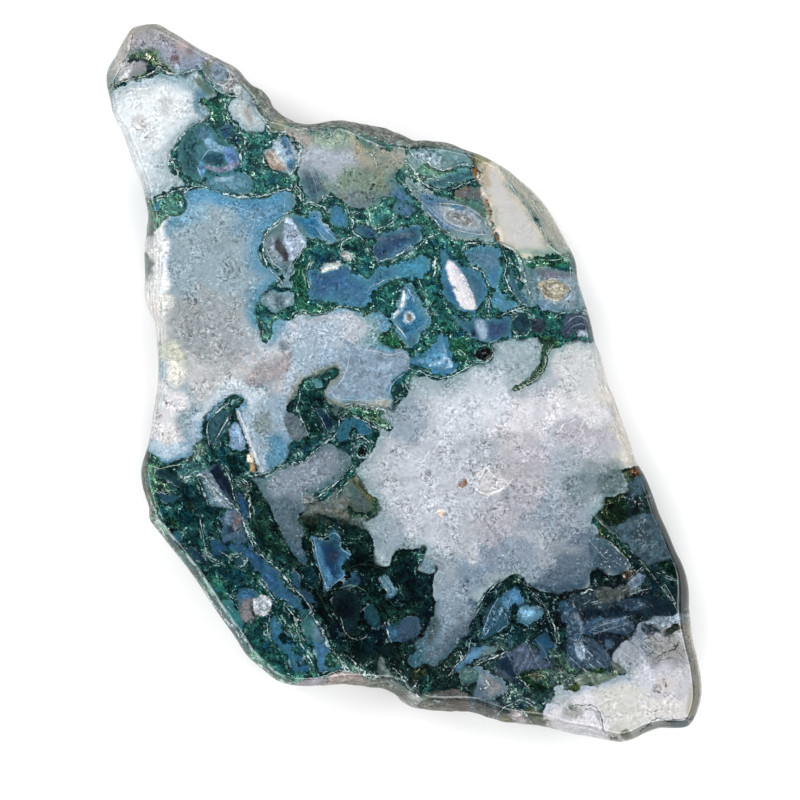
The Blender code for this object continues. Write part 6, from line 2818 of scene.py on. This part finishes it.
def twin_share(make, place, wall):
    """How much shows of the fainter line that runs beside each pale membrane, in the moss alone."""
    beside = make.math("ABSOLUTE", make.plus(make.field("pale_side"), make.swing(place, 6, 2.6, 3.0, 0.65)))
    beside = make.plus(beside, make.plus(make.swing(place, 14, 3.4), -3.1))
    twin = make.step(make.math("ABSOLUTE", beside), 1.0, 0.4)
    twin = make.times(twin, make.step(make.field("pale_gap"), 4.5, 2.5))
    twin = make.times(twin, make.patches(place, 11, 0.51, 0.58, 4.0, 0.75, 0.0, 0.45))
    return make.times(twin, make.step(wall, 0.5, -0.5))


def veined(make, place, wall, pale_moss, base):
    """Dark lines, and pale membranes like chains of beads with a dark edge round them."""
    base = make.over(base, line_share(make, "dark"), 0.85, make.field("dark_colour"))
    base = make.over(base, line_share(make, "pale", 1.2, 3.0), 0.5, colour(MEMBRANE_EDGE_COLOUR))
    pale = make.times(line_share(make, "pale"), make.patches(place, 8, 0.42, 0.53, 5.0, 0.8, 0.06, 1.0))
    pale = make.times(pale, make.patches(place, 2.2, 0.39, 0.53, 1.0, 0.5, 0.34, 1.0))
    pale = make.math("MAXIMUM", pale, twin_share(make, place, wall))
    tone = make.patches(place, 6, 0.45, 0.6, 2.0, 0.5, 0.1, 0.75)
    return make.mix(pale, base, make.mix(tone, pale_moss, colour(MEMBRANE_COLOUR)))


def bevelled(make, place, rind, rim, across, base):
    """The ground bevel round the face, a little lighter, with a painted highlight: a bright line along the
    face's edge.
    """
    polished = make.step(rind, 0.10, 0.0)
    ground = make.times(make.step(rim, 0.3, 1.5), make.step(rim, 15.0, 7.0), polished)
    base = make.mix(make.times(ground, 0.65), base, colour(BEVEL_COLOUR), "LIGHTEN")
    # Painted highlight: the bright line where the bevel reflects the lights, strongest on the lower left.
    highlight = make.times(make.step(rim, 0.2, 1.2), make.step(rim, 4.0, 2.2), polished)
    highlight = make.times(highlight, make.patches(place, 12, 0.42, 0.52, 3.0))
    highlight = make.times(highlight, 0.75, make.step(across, HIGHLIGHT_RIGHT, HIGHLIGHT_LEFT, 0.15, 1.0))
    return make.mix(highlight, base, colour(PAINTED_HIGHLIGHT_COLOUR))


def crusted(make, place, rind, across, down, base):
    """The crust of the natural rind, mottled grey, thinner towards the right."""
    crust = make.mix(make.patches(place, 3.6, 0.40, 0.60, 5.0, 0.8), colour(CRUST_DARK), colour(CRUST_PALE))
    crust = make.lit(crust, make.patches(place, 10, 0.40, 0.60, 4.0, 0.7, 0.45, 1.3))
    lower = make.step(down, CRUST_UPPER, CRUST_LOWER, 0.0, CRUST_SHIFT)
    share = make.step(make.plus(across, lower), CRUST_RIGHT, CRUST_LEFT, 0.22, 0.8)
    return make.mix(make.times(rind, share), base, crust)


def painted_side_shade(make, rim, across, down, base):
    """Painted shade on the right side: its colour darker above and below the stretch that catches the light.
    """
    # Painted shade: the base colour is darkened here.
    shaded_part = make.times(make.step(rim, 0.0, 1.5), make.step(rim, 15.0, 9.0))
    shaded_part = make.times(shaded_part, make.step(across, SHADE_LEFT, SHADE_RIGHT))
    shaded_part = make.times(shaded_part, make.step(make.away(down, LIT_MIDDLE), LIT_REACH, LIT_END))
    return make.lit(base, make.rest(make.times(shaded_part, SHADE_LOSS)))


def streaked_side(make, rim, base):
    """Faint upright streaks down the side, lighter and darker in turn."""
    track = make.node("ShaderNodeCombineXYZ", make.field("run"), make.times(rim, 9.0), 0.0).outputs[0]
    side_streak = make.times(make.swing(track, 22, 1.1, 4.0, 0.7), make.step(rim, 0.2, 2.5))
    return make.lit(base, make.plus(1.0, side_streak))


def face_shades(make, place):
    """The drawing on the polished face and through the stone."""
    bend = make.vector("SUBTRACT", make.noise(place, 9, 2.0, 0.6, "Color"), (0.5, 0.5, 0.5))
    bent = make.vector("ADD", place, make.scaled(bend, BEND))
    ripple = make.plus(make.swing(place, 9, 4.2, 3.0, 0.65), make.swing(place, 2.6, 1.8))
    softer = make.math("SUBTRACT", 1.5, make.times(make.field("grain"), 0.8))
    wall = make.plus(make.field("wall"), make.times(ripple, make.math("MAXIMUM", softer, 0.6)))
    blur = make.patches(place, 22, 0.42, 0.62, 2.0, 0.5, 0.5, 3.8)
    inside = make.step(wall, make.times(blur, -1.0), blur)
    base = make.mix(inside, moss_shades(make, place, bent, wall), filling_shades(make, place, bent, wall))
    pale_moss = make.tinted(make.gamma(make.field("moss"), PALE_GAMMA), PALE_MOSS_TONE)
    base = skinned(make, place, wall, pale_moss, base)
    base = spotted(make, place, bent, ripple, base)
    base = crystalline(make, place, bent, ripple, base)
    return veined(make, place, wall, pale_moss, base)


def stone_material():
    material = bpy.data.materials.new("polished_moss_agate")
    material.use_nodes = True
    make = Shades(material)
    shader = material.node_tree.nodes["Principled BSDF"]
    place = make.vector("MULTIPLY_ADD", in_tenths(make), (1, -1, 1), (*SHEET_MIDDLE, -THICKNESS / TENTH))
    across, down = make.node("ShaderNodeSeparateXYZ", place).outputs[:2]
    rind, rim = make.field("rind"), make.field("rim")
    base = face_shades(make, place)
    base = bevelled(make, place, rind, rim, across, base)
    base = crusted(make, place, rind, across, down, base)
    base = painted_side_shade(make, rim, across, down, base)
    base = streaked_side(make, rim, base)
    make.feed(shader.inputs["Base Color"], make.lit(base, BASE_LEVEL))
    make.feed(shader.inputs["Roughness"], make.step(rind, 0.0, 1.0, POLISHED_ROUGHNESS, RIND_ROUGHNESS))
    shader.inputs["IOR"].default_value = QUARTZ_IOR
    return material


def stone():
    noise.seed_set(WAVER_SEED)
    mesh, places, heights, side = stone_mesh()
    painting = Painting(drawing_places(places, heights))
    for area in MARKINGS:
        for outline in drawn(area):
            painting.paint(*outline)
    store(mesh, {**painting.fields(), **side})
    piece = bpy.data.objects.new("moss_agate_stone", mesh)
    bpy.context.collection.objects.link(piece)
    mesh.materials.append(stone_material())
    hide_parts("moss_agate")
    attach(piece, "root")


def floor():
    half = FLOOR_WIDTH / 2
    mesh = bpy.data.meshes.new("floor")
    corners = [(-half, -half, 0), (half, -half, 0), (half, half, 0), (-half, half, 0)]
    mesh.from_pydata(corners, [], [(0, 1, 2, 3)])
    plane = bpy.data.objects.new("floor", mesh)
    bpy.context.collection.objects.link(plane)
    material = bpy.data.materials.new("pale_paper")
    material.use_nodes = True
    shader = material.node_tree.nodes["Principled BSDF"]
    shader.inputs["Base Color"].default_value = FLOOR_COLOUR
    shader.inputs["Roughness"].default_value = FLOOR_ROUGHNESS
    shader.inputs["Specular IOR Level"].default_value = FLOOR_GLOSS
    mesh.materials.append(material)


def softbox(name, azimuth, power):
    """A square soft light that points at the origin."""
    light = bpy.data.lights.new(name, "AREA")
    light.shape = "SQUARE"
    light.size = BOX_SIZE
    light.energy = power
    lamp = bpy.data.objects.new(name, light)
    turn, rise = math.radians(azimuth), math.radians(BOX_ELEVATION)
    towards = Vector((math.cos(turn) * math.cos(rise), math.sin(turn) * math.cos(rise), math.sin(rise)))
    lamp.location = towards * BOX_DISTANCE
    lamp.rotation_euler = (-lamp.location).to_track_quat("-Z", "Y").to_euler()
    bpy.context.collection.objects.link(lamp)


def studio():
    for number, share in enumerate(BOX_SHARES):
        azimuth = FIRST_BOX + number * 360 / len(BOX_SHARES)
        softbox(f"softbox_{number}", azimuth, share * LIGHT_POWER)
    world = bpy.data.worlds.new("studio")
    world.use_nodes = True
    sky = world.node_tree.nodes["Background"]
    sky.inputs["Color"].default_value = WORLD_COLOUR
    sky.inputs["Strength"].default_value = WORLD_LEVEL
    bpy.context.scene.world = world


def camera():
    """A camera straight above the stone."""
    data = bpy.data.cameras.new("camera")
    data.sensor_width = SENSOR_WIDTH
    data.lens = SENSOR_WIDTH * CAMERA_HEIGHT / VIEW_WIDTH
    eye = bpy.data.objects.new("camera", data)
    eye.location = (*VIEW_MIDDLE, THICKNESS + CAMERA_HEIGHT)
    bpy.context.collection.objects.link(eye)
    bpy.context.scene.camera = eye


stone()
floor()
studio()
camera()
bpy.context.scene.view_settings.view_transform = "Standard"
